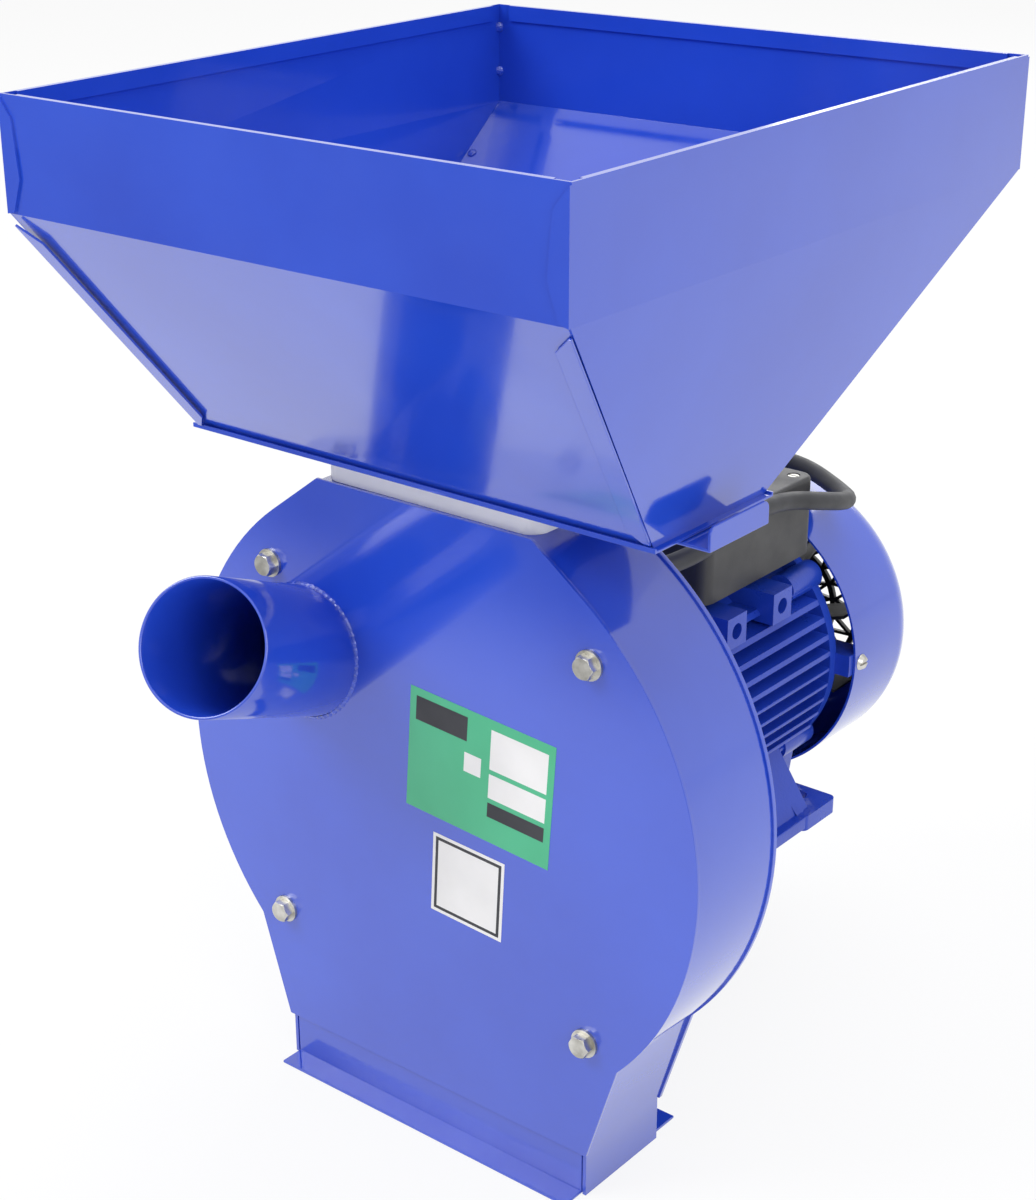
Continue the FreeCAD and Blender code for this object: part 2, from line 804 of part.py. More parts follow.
def hammers():
    half = hammer_width / 2
    for angle in pin_angles:
        x, z = pin_place(angle)
        blades = []
        for start in blade_starts():
            y0, y1 = behind(start), behind(start + hammer_sheet)
            bar = block(x - half, x + half, y0, y1, z - hammer_reach, z)
            end = rod_y(half, y0, y1, x, z)
            hole = rod_y(pin_radius + hammer_fit, y0 - 1, y1 + 1, x, z)
            blades.append(fuse([bar, end]).cut(hole))
        group("hammers_" + pin_names[angle], blades)


def motor_shaft():
    tip = shaft_tip_behind
    front = front_bearing_behind
    rear = rear_bearing_behind
    seat = shaft_radius + 0.5
    step_front = front + front_bearing_width
    profile = [(0, tip), (nut_thread_radius, tip), (nut_thread_radius, hub_front_behind),
               (shaft_radius, hub_front_behind), (shaft_radius, front), (seat, front), (seat, step_front),
               (shaft_step_radius, step_front + 1), (shaft_step_radius, rear - 1),
               (shaft_rear_radius, rear), (shaft_rear_radius, shaft_tail_behind), (0, shaft_tail_behind)]
    keep("motor_shaft", turned(profile).cut(key_block()))


def rotor_small_parts():
    keep("shaft_key", key_block())
    nut_y0 = behind(hub_front_behind - 7.5)
    washer = ring_y(15, nut_thread_radius, behind(hub_front_behind - 2.5), behind(hub_front_behind))
    nut = hex_rod(19, nut_y0, behind(hub_front_behind - 2.5), 0, axis_z)
    bore = rod_y(nut_thread_radius, nut_y0 - 1, behind(hub_front_behind))
    group("rotor_nut_and_washer", [washer, nut.cut(bore)])
    core = ring_y(stator_inner - rotor_gap, shaft_step_radius, behind(stator_front_behind),
                  behind(stator_back_behind))
    end_ring = ring_y(stator_inner - 4, shaft_step_radius + 10, behind(stator_front_behind - 8),
                      behind(stator_back_behind + 8))
    keep("rotor_core", fuse([core, end_ring]))
    seal = ring_y(seal_radius, shaft_radius + hammer_fit, plate_front, plate_back)
    keep("shaft_seal", seal)


def bearing(name, start, width, outer, bore_radius):
    y0, y1 = behind(start), behind(start + width)
    body = ring_y(outer, bore_radius + running_fit, y0, y1)
    middle = (outer + bore_radius) / 2
    quarter = (outer - bore_radius) / 4
    grooves = [ring_y(middle + quarter, middle - quarter, y0 - 1, y0 + 1),
               ring_y(middle + quarter, middle - quarter, y1 - 1, y1 + 1)]
    keep(name, body.cut(grooves))


# Motor housing

def lug_places():
    a = math.radians(lug_angle)
    x, z = lug_circle * math.cos(a), lug_circle * math.sin(a)
    return [(sx * x, axis_z + sz * z) for sx in (-1, 1) for sz in (-1, 1)]


def front_shield():
    face, frame = drum_depth, frame_front_behind
    seat, deep = front_bearing_behind, front_bearing_behind + front_bearing_width
    boss = front_bearing_radius + 2 * shield_wall
    inner = frame_bore - shield_wall
    collar = seal_radius - 2
    body = turned([(collar, face), (flange_radius, face), (flange_radius, face + flange_sheet),
                   (shield_neck_radius, face + flange_sheet + 4), (shield_neck_radius, frame - 20),
                   (shield_radius, frame - lug_length), (shield_radius, frame), (frame_bore, frame),
                   (frame_bore, frame + spigot_length), (inner, frame + spigot_length),
                   (inner, frame - shield_wall), (boss, seat + 5), (boss, deep),
                   (front_bearing_radius, deep), (front_bearing_radius, seat), (collar, seat)])
    lugs = [rod_y(lug_radius, behind(frame_front_behind - 8), behind(frame_front_behind), x, z)
            for x, z in lug_places()]
    holes = [rod_y(lug_screw_radius + 0.3, behind(frame_front_behind - 20), behind(frame_front_behind + 1), x, z)
             for x, z in lug_places()]
    heads = [rod_y(5.5, behind(frame_front_behind - 20), behind(frame_front_behind - 8), x, z)
             for x, z in lug_places()]
    holes += mount_screw_holes(mount_screw_radius + thread_clearance, plate_back - 1, plate_back + 8)
    keep("front_end_shield", fuse([body] + lugs).cut(holes + heads))


def rear_shield():
    back = frame_back_behind
    seat, end = rear_bearing_behind, rear_bearing_behind + rear_bearing_width
    boss = rear_bearing_radius + 2 * shield_wall
    inner = frame_bore - shield_wall
    cap = end + shield_wall
    bore = shaft_rear_radius + 5.5
    body = turned([(bore, cap), (boss + 2, cap), (frame_core + 2, back + lug_length),
                   (shield_radius, back + 6), (shield_radius, back), (frame_bore, back),
                   (frame_bore, back - spigot_length), (inner, back - spigot_length), (inner, back - 1),
                   (boss, back + 5), (boss, back - shield_wall), (rear_bearing_radius, back - shield_wall),
                   (rear_bearing_radius, end), (bore, end)])
    lugs = [rod_y(lug_radius, behind(back), behind(back + lug_length), x, z) for x, z in lug_places()]
    inner = cowl_radius - cowl_sheet - 0.2
    arm = block(frame_core - 2, inner, behind(cowl_front_behind - 4), behind(cowl_front_behind + 12),
                axis_z - 6, axis_z + 6)
    arm = arm.common(rod_y(inner, behind(back), behind(back + 30)))
    root = block(frame_core - 4, frame_core + 4, behind(back + 4), behind(cowl_front_behind), axis_z - 6, axis_z + 6)
    arms = around(fuse([arm, root]), 4)
    holes = [rod_y(lug_screw_radius + 0.3, behind(back - 1), behind(back + 20), x, z)
             for x, z in lug_places()]
    holes += [rod_y(5.5, behind(back + 8), behind(back + 20), x, z) for x, z in lug_places()]
    holes += around(rod_x(2 + thread_clearance, frame_core + 4, cowl_radius + 9, behind(cowl_screw_behind), axis_z), 4)
    keep("rear_end_shield", fuse([body] + lugs + arms).cut(holes))


def shield_screws():
    screws = []
    for x, z in lug_places():
        for head, tip, inward in ((frame_front_behind - 8, frame_front_behind + 16, 1),
                                  (frame_back_behind + 8, frame_back_behind - 16, -1)):
            y_head = behind(head)
            y_tip = behind(tip)
            top = y_head - inward * 4
            hexagon = hex_rod(8, min(top, y_head), max(top, y_head), x, z)
            shank = rod_y(lug_screw_radius, min(y_head, y_tip), max(y_head, y_tip), x, z)
            screws.append(fuse([hexagon, shank]))
    group("shield_screws", screws)


def motor_mount_screws():
    x = mount_screw_circle
    head = rod_y(5, plate_front - 3.6, plate_front, x)
    socket = hex_rod(5, plate_front - 4, plate_front - 1.6, x, axis_z)
    shank = rod_y(mount_screw_radius, plate_front, plate_back + 7, x)
    group("motor_mount_screws", around(fuse([head, shank]).cut(socket), 4, 45))


def foot_places():
    """Middle of each slot with the Y direction of the foot's long end."""
    return [(foot_span_x / 2, -foot_span_y / 2, 1), (foot_span_x / 2, foot_span_y / 2, -1)]


def motor_frame():
    y0, y1 = behind(frame_front_behind), behind(frame_back_behind)
    core = rod_y(frame_core, y0, y1)
    envelope = rod_y(fin_radius, y0 + 3, y1 - 3)
    fins = []
    z = -5 * fin_pitch
    while z < 5 * fin_pitch + 0.1:
        fins.append(block(-fin_radius, fin_radius, y0, y1, axis_z + z - fin_sheet / 2,
                          axis_z + z + fin_sheet / 2))
        z += fin_pitch
    x = -4 * fin_pitch
    while x < 4 * fin_pitch + 0.1:
        fins.append(block(x - fin_sheet / 2, x + fin_sheet / 2, y0, y1, axis_z - fin_radius, axis_z))
        x += fin_pitch
    ribs = Part.makeCompound(fins).common(envelope)
    pieces = [core] + ribs.Solids
    for x, z in lug_places():
        pieces.append(rod_y(lug_radius, y0, y0 + 20, x, z))
        pieces.append(rod_y(lug_radius, y1 - 20, y1, x, z))
    half = side_boss_size / 2
    for start in side_boss_behind:
        y = behind(start)
        boss = block(38, side_boss_reach, y - half, y + half, axis_z + side_boss_rise - half,
                     axis_z + side_boss_rise + half)
        pieces += [boss, mirror_x(boss)]
    for x, y, long_way in foot_places():
        low = y - (foot_short_end if long_way > 0 else foot_long_end)
        high = y + (foot_long_end if long_way > 0 else foot_short_end)
        pad = block(34, foot_outer_x, low, high, 0, foot_thickness)
        uprights = [edge for edge in pad.Edges
                    if edge.BoundBox.ZLength > 1 and edge.BoundBox.XMin > foot_outer_x - 1]
        pad = pad.makeFillet(4.0, uprights)
        top = axis_z - 34
        leg = prism_y([(34, 0), (50, 0), (52, foot_thickness), (55, top - 16), (60, top), (34, top)], low, high)
        rib_y = high - 7 if long_way > 0 else low
        gusset = prism_y([(50, foot_thickness), (foot_outer_x - 5, foot_thickness), (56, 34)],
                         rib_y, rib_y + 7)
        foot = fuse([pad, leg, gusset])
        slot_half = (foot_slot_length - foot_slot_width) / 2
        radius = foot_slot_width / 2
        slot = fuse([rod_z(radius, -1, foot_thickness + 20, x - slot_half, y),
                     rod_z(radius, -1, foot_thickness + 20, x + slot_half, y),
                     block(x - slot_half, x + slot_half, y - radius, y + radius, -1, foot_thickness + 20)])
        foot = foot.cut(slot)
        pieces += [foot, mirror_x(foot)]
    tools = [rod_y(frame_bore, y0 - 1, y1 + 1)]
    seat_z = axis_z + box_seat_rise
    tools.append(block(-box_half_x - 1, box_half_x + 1, y0 - 1, y1 + 1, seat_z, seat_z + 60))
    for x, z in lug_places():
        tools.append(rod_y(lug_screw_radius + thread_clearance, y0 - 1, y0 + 18, x, z))
        tools.append(rod_y(lug_screw_radius + thread_clearance, y1 - 18, y1 + 1, x, z))
    for start in side_boss_behind:
        hole = rod_x(4.2, side_boss_reach - 10, side_boss_reach + 1, behind(start), axis_z + side_boss_rise)
        tools += [hole, mirror_x(hole)]
    tools.append(rod_z(7, axis_z + 40, seat_z + 1, 0, behind(200)))
    keep("motor_frame", fuse(pieces).cut(tools))


def stator():
    y0, y1 = behind(stator_front_behind), behind(stator_back_behind)
    core = ring_y(frame_bore, stator_inner, y0, y1)
    slot = rod_y(3.2, y0 - 1, y1 + 1, stator_inner + 4.5)
    keep("stator_core", core.cut(around(slot, 12)))
    rings = []
    for first, last in ((stator_front_behind - winding_length, stator_front_behind),
                        (stator_back_behind, stator_back_behind + winding_length)):
        profile = [(stator_inner + 2, first + 3), (stator_inner + 5, first), (frame_bore - 8, first),
                   (frame_bore - 5, first + 4), (frame_bore - 5, last), (stator_inner + 2, last)]
        if first >= stator_back_behind:
            profile = [(r, first + last - d) for r, d in profile]
        rings.append(turned(profile))
    group("stator_windings", rings)


# Fan, cowl and grille

def arc_profile(points):
    """Face from (radius, behind) points; a tuple of three points is an arc."""
    edges = []
    for piece in points:
        corners = [V(r, behind(d), axis_z) for r, d in piece]
        if len(corners) == 3:
            edges.append(Part.Arc(*corners).toShape())
        else:
            edges.append(Part.LineSegment(*corners).toShape())
    return Part.Face(Part.Wire(edges))


def fan_cowl():
    t = cowl_sheet
    outer, inner = cowl_radius, cowl_radius - cowl_sheet
    front, straight, back = cowl_front_behind, cowl_straight_end, cowl_back_behind
    flat = cowl_flat_radius
    bulge = 0.7071
    outer_mid = (flat + (outer - flat) * bulge, straight + (back - straight) * bulge)
    inner_mid = (flat + (inner - flat) * bulge, straight + (back - t - straight) * bulge)
    face = arc_profile([
        ((outer, front), (outer, straight)),
        ((outer, straight), outer_mid, (flat, back)),
        ((flat, back), (cowl_mouth_radius, back)),
        ((cowl_mouth_radius, back), (cowl_mouth_radius, back - t)),
        ((cowl_mouth_radius, back - t), (flat, back - t)),
        ((flat, back - t), inner_mid, (inner, straight)),
        ((inner, straight), (inner, front)),
        ((inner, front), (outer, front))])
    body = face.revolve(V(0, 0, axis_z), V(0, 1, 0), 360)
    holes = around(rod_x(2.3, inner - 4, outer + 4, behind(cowl_screw_behind), axis_z), 4)
    keep("fan_cowl", body.cut(holes))


def cowl_screws():
    y = behind(cowl_screw_behind)
    shank = rod_x(2, cowl_radius - 13, cowl_radius, y, axis_z)
    head = Part.makeCone(4.6, 3.0, 2.4, V(cowl_radius, y, axis_z), V(1, 0, 0))
    slot = block(cowl_radius + 1.2, cowl_radius + 4, y - 6, y + 6, axis_z - 0.5, axis_z + 0.5)
    group("cowl_screws", around(fuse([shank, head]).cut(slot), 4))


def cooling_fan():
    hub_end = fan_blade_end - 4
    hub = ring_y(16, shaft_rear_radius, behind(fan_disc_behind), behind(hub_end))
    disc = ring_y(fan_radius, 15, behind(fan_disc_behind), behind(fan_disc_behind + 2.5))
    blade = block(14, fan_radius - 2, behind(fan_disc_behind + 2), behind(fan_blade_end),
                  axis_z - 1.2, axis_z + 1.2)
    keep("cooling_fan", fuse([hub, disc] + around(blade, fan_blades, 10)))


def fan_grille():
    y1 = behind(cowl_back_behind) - cowl_sheet - 0.1
    y0 = y1 - grille_sheet
    body = rod_y(grille_radius, y0, y1)
    cells = []
    step = 360.0 / grille_cells
    hub = 14.0
    waist = (hub + grille_radius) / 2 - 7
    for inner, outer, shift in ((hub, waist, 0), (waist + 3, grille_radius - 13, 0.5)):
        bar = 1.6
        for k in range(grille_cells):
            if inner == hub and k % 2:
                continue
            wide = step * (2 if inner == hub else 1)
            corners = []
            for radius, sign in ((inner, -1), (inner, 1), (outer, 1), (outer, -1)):
                margin = math.degrees(bar / radius)
                angle = math.radians(step * (k + shift) + sign * (wide / 2 - margin))
                corners.append((radius * math.cos(angle), axis_z + radius * math.sin(angle)))
            cells.append(prism_y(corners, y0 - 1, y1 + 1))
    keep("fan_grille", body.cut(cells))


# Switch box on the motor

def rounded_box(z0, z1, inset):
    x = box_half_x - inset
    front, back = behind(box_front_behind) + inset, behind(box_back_behind) - inset
    body = block(-x, x, front, back, z0, z1)
    uprights = [edge for edge in body.Edges if edge.BoundBox.ZLength > (z1 - z0) / 2]
    return body.makeFillet(box_corner - inset, uprights)


lid_places = [(sx * (box_half_x - lid_screw_inset_x), y) for sx in (-1, 1)
              for y in (behind(box_front_behind) + lid_screw_inset_y,
                        behind(box_back_behind) - lid_screw_inset_y)]
wall_x = -box_half_x


def switch_box():
    z0, z1 = axis_z + box_seat_rise, axis_z + box_split_rise
    body = rounded_box(z0, z1, 0).cut(rounded_box(z0 + box_wall, z1 + 1, box_wall))
    posts = [rod_z(4.5, z0 + 1, z1, x, y) for x, y in lid_places]
    body = fuse([body] + posts)
    tools = [rod_z(1.5 + thread_clearance, z1 - 12, z1 + 1, x, y) for x, y in lid_places]
    tools.append(rod_y(shield_radius + 0.3, behind(frame_back_behind - 1), behind(box_back_behind + 1)))
    for x, z in lug_places():
        tools.append(rod_y(lug_radius + 0.3, behind(frame_back_behind - 1), behind(box_back_behind + 1), x, z))
    tools.append(rod_z(6, z0 - 1, z0 + box_wall + 1, 0, behind(200)))
    half_l, half_h = rocker_length / 2 + 1.2, rocker_height / 2 + 1.2
    y, z = behind(rocker_behind), axis_z + rocker_rise
    tools.append(block(wall_x - 1, wall_x + box_wall + 1, y - half_l, y + half_l, z - half_h, z + half_h))
    tools.append(rod_x(button_radius + 1.5, wall_x - 1, wall_x + box_wall + 1, behind(button_behind), z))
    front = behind(box_front_behind)
    tools.append(rod_y(8, front - 1, front + box_wall + 1, gland_x, axis_z + gland_rise))
    body = body.cut(tools)
    solids = sorted(body.Solids, key=lambda solid: -solid.Volume)
    keep("switch_box", solids[0])


def switch_box_lid():
    z0, z1 = axis_z + box_split_rise + gasket_sheet, axis_z + box_top_rise
    body = rounded_box(z0, z1, 0)
    rim = [edge for edge in body.Edges if edge.BoundBox.ZMin > z1 - 0.01]
    body = body.makeFillet(2.5, rim)
    body = body.cut(rounded_box(z0 - 1, z1 - box_wall, box_wall))
    posts = [rod_z(4.5, z0, z1 - 1, x, y) for x, y in lid_places]
    body = fuse([body] + posts)
    tools = []
    for x, y in lid_places:
        tools.append(rod_z(1.8, z0 - 1, z1 + 1, x, y))
        tools.append(rod_z(3.3, z1 - 2.2, z1 + 1, x, y))
    keep("switch_box_lid", body.cut(tools))


def box_gasket():
    z0 = axis_z + box_split_rise
    ring = rounded_box(z0, z0 + gasket_sheet, 0).cut(rounded_box(z0 - 1, z0 + gasket_sheet + 1, box_wall))
    keep("box_gasket", ring)


def lid_screws():
    screws = []
    z1 = axis_z + box_top_rise
    for x, y in lid_places:
        head = rod_z(3.0, z1 - 2.2, z1 - 0.4, x, y)
        slot = block(x - 4, x + 4, y - 0.4, y + 0.4, z1 - 1.2, z1)
        shank = rod_z(1.5, axis_z + box_split_rise - 10, z1 - 2.2, x, y)
        screws.append(fuse([head, shank]).cut(slot))
    group("lid_screws", screws)


def rocker_switch():
    y, z = behind(rocker_behind), axis_z + rocker_rise
    half_l, half_h = rocker_length / 2, rocker_height / 2
    frame = block(wall_x - 2, wall_x, y - half_l - 3, y + half_l + 3, z - half_h - 3, z + half_h + 3)
    case = block(wall_x, wall_x + 18, y - half_l - 1.1, y + half_l + 1.1, z - half_h - 1.1, z + half_h + 1.1)
    well = block(wall_x - 3, wall_x + 9, y - half_l, y + half_l, z - half_h, z + half_h)
    pivot_x = wall_x + 3
    bearing_hole = rod_z(1.55, z - half_h - 0.9, z + half_h + 0.9, pivot_x, y)
    keep("switch_bezel", fuse([frame, case]).cut([well, bearing_hole]))
    # The rocker is drawn at OFF; it tips about an axis along Z through its middle.
    reach = half_l - 1.6
    up = half_h - 0.4
    profile = [V(pivot_x + 4, y - reach + 3, z - up), V(pivot_x + 4, y + reach - 3, z - up),
               V(wall_x - 0.4, y + reach, z - up), V(wall_x - 2.2, y, z - up),
               V(wall_x - 4.6, y - reach, z - up)]
    trunnion = rod_z(1.5, z - half_h - 0.7, z + half_h + 0.7, pivot_x, y)
    keep("rocker_button", fuse([prism_along(profile, V(0, 0, 2 * up)), trunnion]))


def reset_button():
    y, z = behind(button_behind), axis_z + rocker_rise
    nut = ring_x(button_radius + 4, button_radius + 0.3, wall_x - 2.4, wall_x, y, z)
    sleeve = ring_x(button_radius + 1.4, button_radius + 0.3, wall_x, wall_x + 14, y, z)
    keep("breaker_body", fuse([nut, sleeve, rod_x(button_radius + 1.4, wall_x + 14, wall_x + 22, y, z)]))
    button = rod_x(button_radius, wall_x - 5.5, wall_x + 8, y, z)
    edge = [e for e in button.Edges if e.BoundBox.XMax < wall_x - 5]
    keep("reset_button", button.makeFillet(1.2, edge))


def ring_x(outer, inner, x0, x1, y, z):
    return rod_x(outer, x0, x1, y, z).cut(rod_x(inner, x0 - 1, x1 + 1, y, z))


def box_contents():
    z0 = axis_z + box_seat_rise + box_wall
    front, back = behind(box_front_behind), behind(box_back_behind)
    radius = capacitor_radius
    can = rod_y(radius, front + 26, back - 9, box_half_x / 2 - 1, z0 + radius)
    keep("run_capacitor", can)
    first = front + 18
    body = block(-26, -10, first, first + 38, z0, z0 + 14)
    holes = [rod_x(2.2, -27, -9, first + 5 + 7 * k, z0 + 9) for k in range(5)]
    keep("terminal_block", body.cut(holes))


# Supply cord: gland, free stretch, coil and plug

def cord_gland():
    front = behind(box_front_behind)
    z = axis_z + gland_rise
    nut = hex_rod(22, front - 6, front, gland_x, z)
    cone = Part.makeCone(6.2, 9.5, gland_length - 6, V(gland_x, front - gland_length, z), V(0, 1, 0))
    thread = rod_y(7.9, front, front + 8, gland_x, z)
    bore = rod_y(cord_diameter / 2, front - gland_length - 1, front + 9, gland_x, z)
    keep("cord_gland", fuse([nut, cone, thread]).cut(bore))


cord_start = V(gland_x, behind(box_front_behind) - gland_length, axis_z + gland_rise)
coil_z = floor_z + cord_diameter / 2 + 0.25
coil_start = V(coil_centre[0] + coil_radius, coil_centre[1], coil_z)
coil_entry = coil_start + V(0, cord_diameter, 0)
cord_route = [cord_start,
              V(-29.2, -71.8, 166.5), V(-17.1, -91.1, 168), V(3, -101.8, 170), V(29, -100.9, 173),
              V(53, -88, 177), V(66, -64, 181), V(67, -35, 184.5), V(63, -5, 187),
              V(63, 27, 185), V(69, 56, 180), V(67, 82, 176), V(49, 105, 175.5),
              V(22, 115, 175), V(-6, 116, 173), V(-34, 110, 165), V(-62, 103, 148),
              V(-85, 96, 121), V(-98, 90, 87), V(-103, 87, 48), V(-104, 86, 8),
              V(-102, 82, coil_z + 69), V(-99, 74, coil_z + 37), V(-94.5, 59, coil_z + 12.5),
              coil_entry + V(0, 23, 0), coil_entry]


def rounded_route(points):
    """Straight runs joined by tangent arcs, each as large as its shorter run allows."""
    edges = []
    radii = []
    last = points[0]
    for k in range(1, len(points) - 1):
        before = points[k - 1] - points[k]
        after = points[k + 1] - points[k]
        shorter = min(before.Length, after.Length)
        before.normalize()
        after.normalize()
        turn = math.pi - before.getAngle(after)
        setback = 0.45 * shorter
        radius = setback / math.tan(turn / 2)
        radii.append(radius)
        enter = points[k] + before * setback
        leave = points[k] + after * setback
        inward = before + after
        inward.normalize()
        depth = radius / math.cos(turn / 2) - radius
        edges.append(Part.LineSegment(last, enter).toShape())
        edges.append(Part.Arc(enter, points[k] + inward * depth, leave).toShape())
        last = leave
    edges.append(Part.LineSegment(last, points[-1]).toShape())
    return Part.Wire(edges), radii


def tube_on(wire, start, direction, transition=0):
    ring = Part.Wire([Part.makeCircle(cord_diameter / 2, start, direction)])
    shell = wire.makePipeShell([ring], True, False, transition)
    return shell


def power_cord():
    wire, radii = rounded_route(cord_route)
    first = cord_route[1] - cord_route[0]
    tube = tube_on(wire, cord_route[0], first)
    ideal = math.pi * cord_diameter ** 2 / 4 * wire.Length
    print("cord stretch mm", round(wire.Length), "volume ratio", round(tube.Volume / ideal, 4))
    print("cord radii mm", [round(r) for r in radii])
    keep("power_cord", tube)


def coil_point(turn_angle):
    """Place on the coil after so many radians: in on the lower layer, out on the upper one."""
    total = 2 * math.pi * coil_turns
    middle = total / 2
    rate = coil_pitch / (2 * math.pi)
    blend = math.pi / 2
    away = turn_angle - middle
    if abs(away) > blend:
        inset = abs(away)
    else:
        inset = (away * away + blend * blend) / (2 * blend)
    radius = coil_radius - rate * (middle - inset)
    climb = min(1.0, max(0.0, 0.5 + away / math.pi))
    height = cord_layers_pitch * climb * climb * (3 - 2 * climb)
    finish = min(1.0, max(0.0, (turn_angle - total + math.pi / 2) / (math.pi / 2)))
    plug_lift = floor_z + plug_radius + 0.3 - coil_z - cord_layers_pitch
    height += plug_lift * finish * finish * (3 - 2 * finish)
    return V(coil_centre[0] + radius * math.cos(-turn_angle),
             coil_centre[1] + radius * math.sin(-turn_angle), coil_z + height)


def coil_tangent(turn_angle):
    step = 1e-4
    direction = coil_point(turn_angle + step) - coil_point(turn_angle - step)
    direction.normalize()
    return direction


def biarc(p0, t0, p1, t1):
    """Two tangent arcs from p0 along t0 to p1 along t1."""
    chord = p1 - p0
    both = t0 + t1
    a = 2 * (1 - t0.dot(t1))
    b = 2 * chord.dot(both)
    c = -chord.dot(chord)
    reach = -c / b if a < 1e-9 else (-b + math.sqrt(b * b - 4 * a * c)) / (2 * a)
    joint = (p0 + t0 * reach + p1 - t1 * reach) * 0.5
    return [arc_from(p0, t0, joint), arc_from(p1, t1 * -1, joint)]


def arc_from(start, tangent, end):
    chord = end - start
    side = chord - tangent * chord.dot(tangent)
    side.normalize()
    radius = chord.dot(chord) / (2 * chord.dot(side))
    centre = start + side * radius
    middle = (start - centre) + (end - centre)
    middle.normalize()
    return Part.Arc(start, centre + middle * radius, end)


def cord_coil():
    total = 2 * math.pi * coil_turns
    quarters = int(round(4 * coil_turns))
    lead = V(0, -1, 0)
    angles = [total * k / quarters for k in range(quarters + 1)]
    places = [coil_point(a) for a in angles]
    tangents = [coil_tangent(a) for a in angles]
    tangents[0] = lead
    tangents[-1] = V(0, 1, 0)
    entry = places[0] + V(0, cord_diameter, 0)
    leave = places[-1] + V(0, cord_diameter, 0)
    edges = [Part.LineSegment(entry, places[0]).toShape()]
    for k in range(quarters):
        first, second = biarc(places[k], tangents[k], places[k + 1], tangents[k + 1])
        edges.append(first.toShape())
        back = second.toShape()
        edges.append(back)
    edges.append(Part.LineSegment(places[-1], leave).toShape())
    wire = Part.Wire(Part.__sortEdges__(edges))
    tube = tube_on(wire, entry, lead)
    ideal = math.pi * cord_diameter ** 2 / 4 * wire.Length
    print("coil mm", round(wire.Length), "volume ratio", round(tube.Volume / ideal, 4))
    samples = [coil_point(total * k / 400) for k in range(401)]
    least = min((samples[i] - samples[j]).Length for i in range(0, 401, 2)
                for j in range(i + 60, 401, 2))
    print("coil least gap mm", round(least - cord_diameter, 2))
    keep("cord_coil", tube)
    return leave


def plug(start):
    """Round mains plug lying on the floor, its pins pointing along +Y."""
    x, y, z = start.x, start.y, start.z
    relief = Part.makeCone(cord_diameter / 2 + 1.2, 9.0, plug_relief, V(x, y, z), V(0, 1, 0))
    neck = Part.makeCone(12.0, plug_radius, plug_length * 0.4, V(x, y + plug_relief, z), V(0, 1, 0))
    grip = rod_y(plug_radius, y + plug_relief + plug_length * 0.4, y + plug_relief + plug_length, x, z)
    face_y = y + plug_relief + plug_length
    flats = []
    for side in (-1, 1):
        x0, x1 = sorted((x + side * (plug_radius - 2.6), x + side * (plug_radius + 5)))
        flats.append(block(x0, x1, face_y - 17, face_y + 1, z - 5, z + 5))
    pins = []
    sockets = []
    for side in (-1, 1):
        px = x + side * plug_pin_spacing / 2
        pin = rod_y(plug_pin_radius, face_y - 6, face_y + plug_pin_length, px, z)
        tip = [e for e in pin.Edges if e.BoundBox.YMin > face_y + plug_pin_length - 0.01]
        pins.append(pin.makeFillet(1.5, tip))
        sockets.append(rod_y(plug_pin_radius, face_y - 6, face_y + 1, px, z))
    keep("plug_body", fuse([relief, neck, grip]).cut(flats + sockets))
    group("plug_pins", pins)


def build():
    os.makedirs("parts", exist_ok=True)
    drum_shell()
    drum_back_plate()
    cover_posts()
    front_cover()
    feed_pipe()
    cover_bolts()
    chute_walls()
    hopper()
    hopper_base()
    inlet_collar()
    slide_gate()
    hopper_screws()
    screen()
    screen_ledges()
    rotor_disc("rotor_front_disc", disc_front_behind)
    rotor_disc("rotor_back_disc", disc_back_behind)
    rotor_hub()
    hammer_pins()
    hammer_spacers()
    hammers()
    motor_shaft()
    rotor_small_parts()
    bearing("front_bearing", front_bearing_behind, front_bearing_width, front_bearing_radius,
            shaft_radius + 0.5)
    bearing("rear_bearing", rear_bearing_behind, rear_bearing_width, rear_bearing_radius,
            shaft_rear_radius)
    front_shield()
    rear_shield()
    shield_screws()
    motor_mount_screws()
    motor_frame()
    stator()
    fan_cowl()
    cowl_screws()
    cooling_fan()
    fan_grille()
    switch_box()
    switch_box_lid()
    box_gasket()
    lid_screws()
    rocker_switch()
    reset_button()
    box_contents()
    cord_gland()
    power_cord()
    plug(cord_coil())
    for name, shape in parts.items():
        bad = [k for k, solid in enumerate(shape.Solids) if not solid.isValid() or not solid.isClosed()]
        if bad:
            print("not valid:", name, bad)
        shape.exportStep("parts/" + name + ".step")
    print(len(parts), "nodes")


build()
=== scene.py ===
import bpy
import bmesh
import json
import math
from mathutils import Matrix, Vector

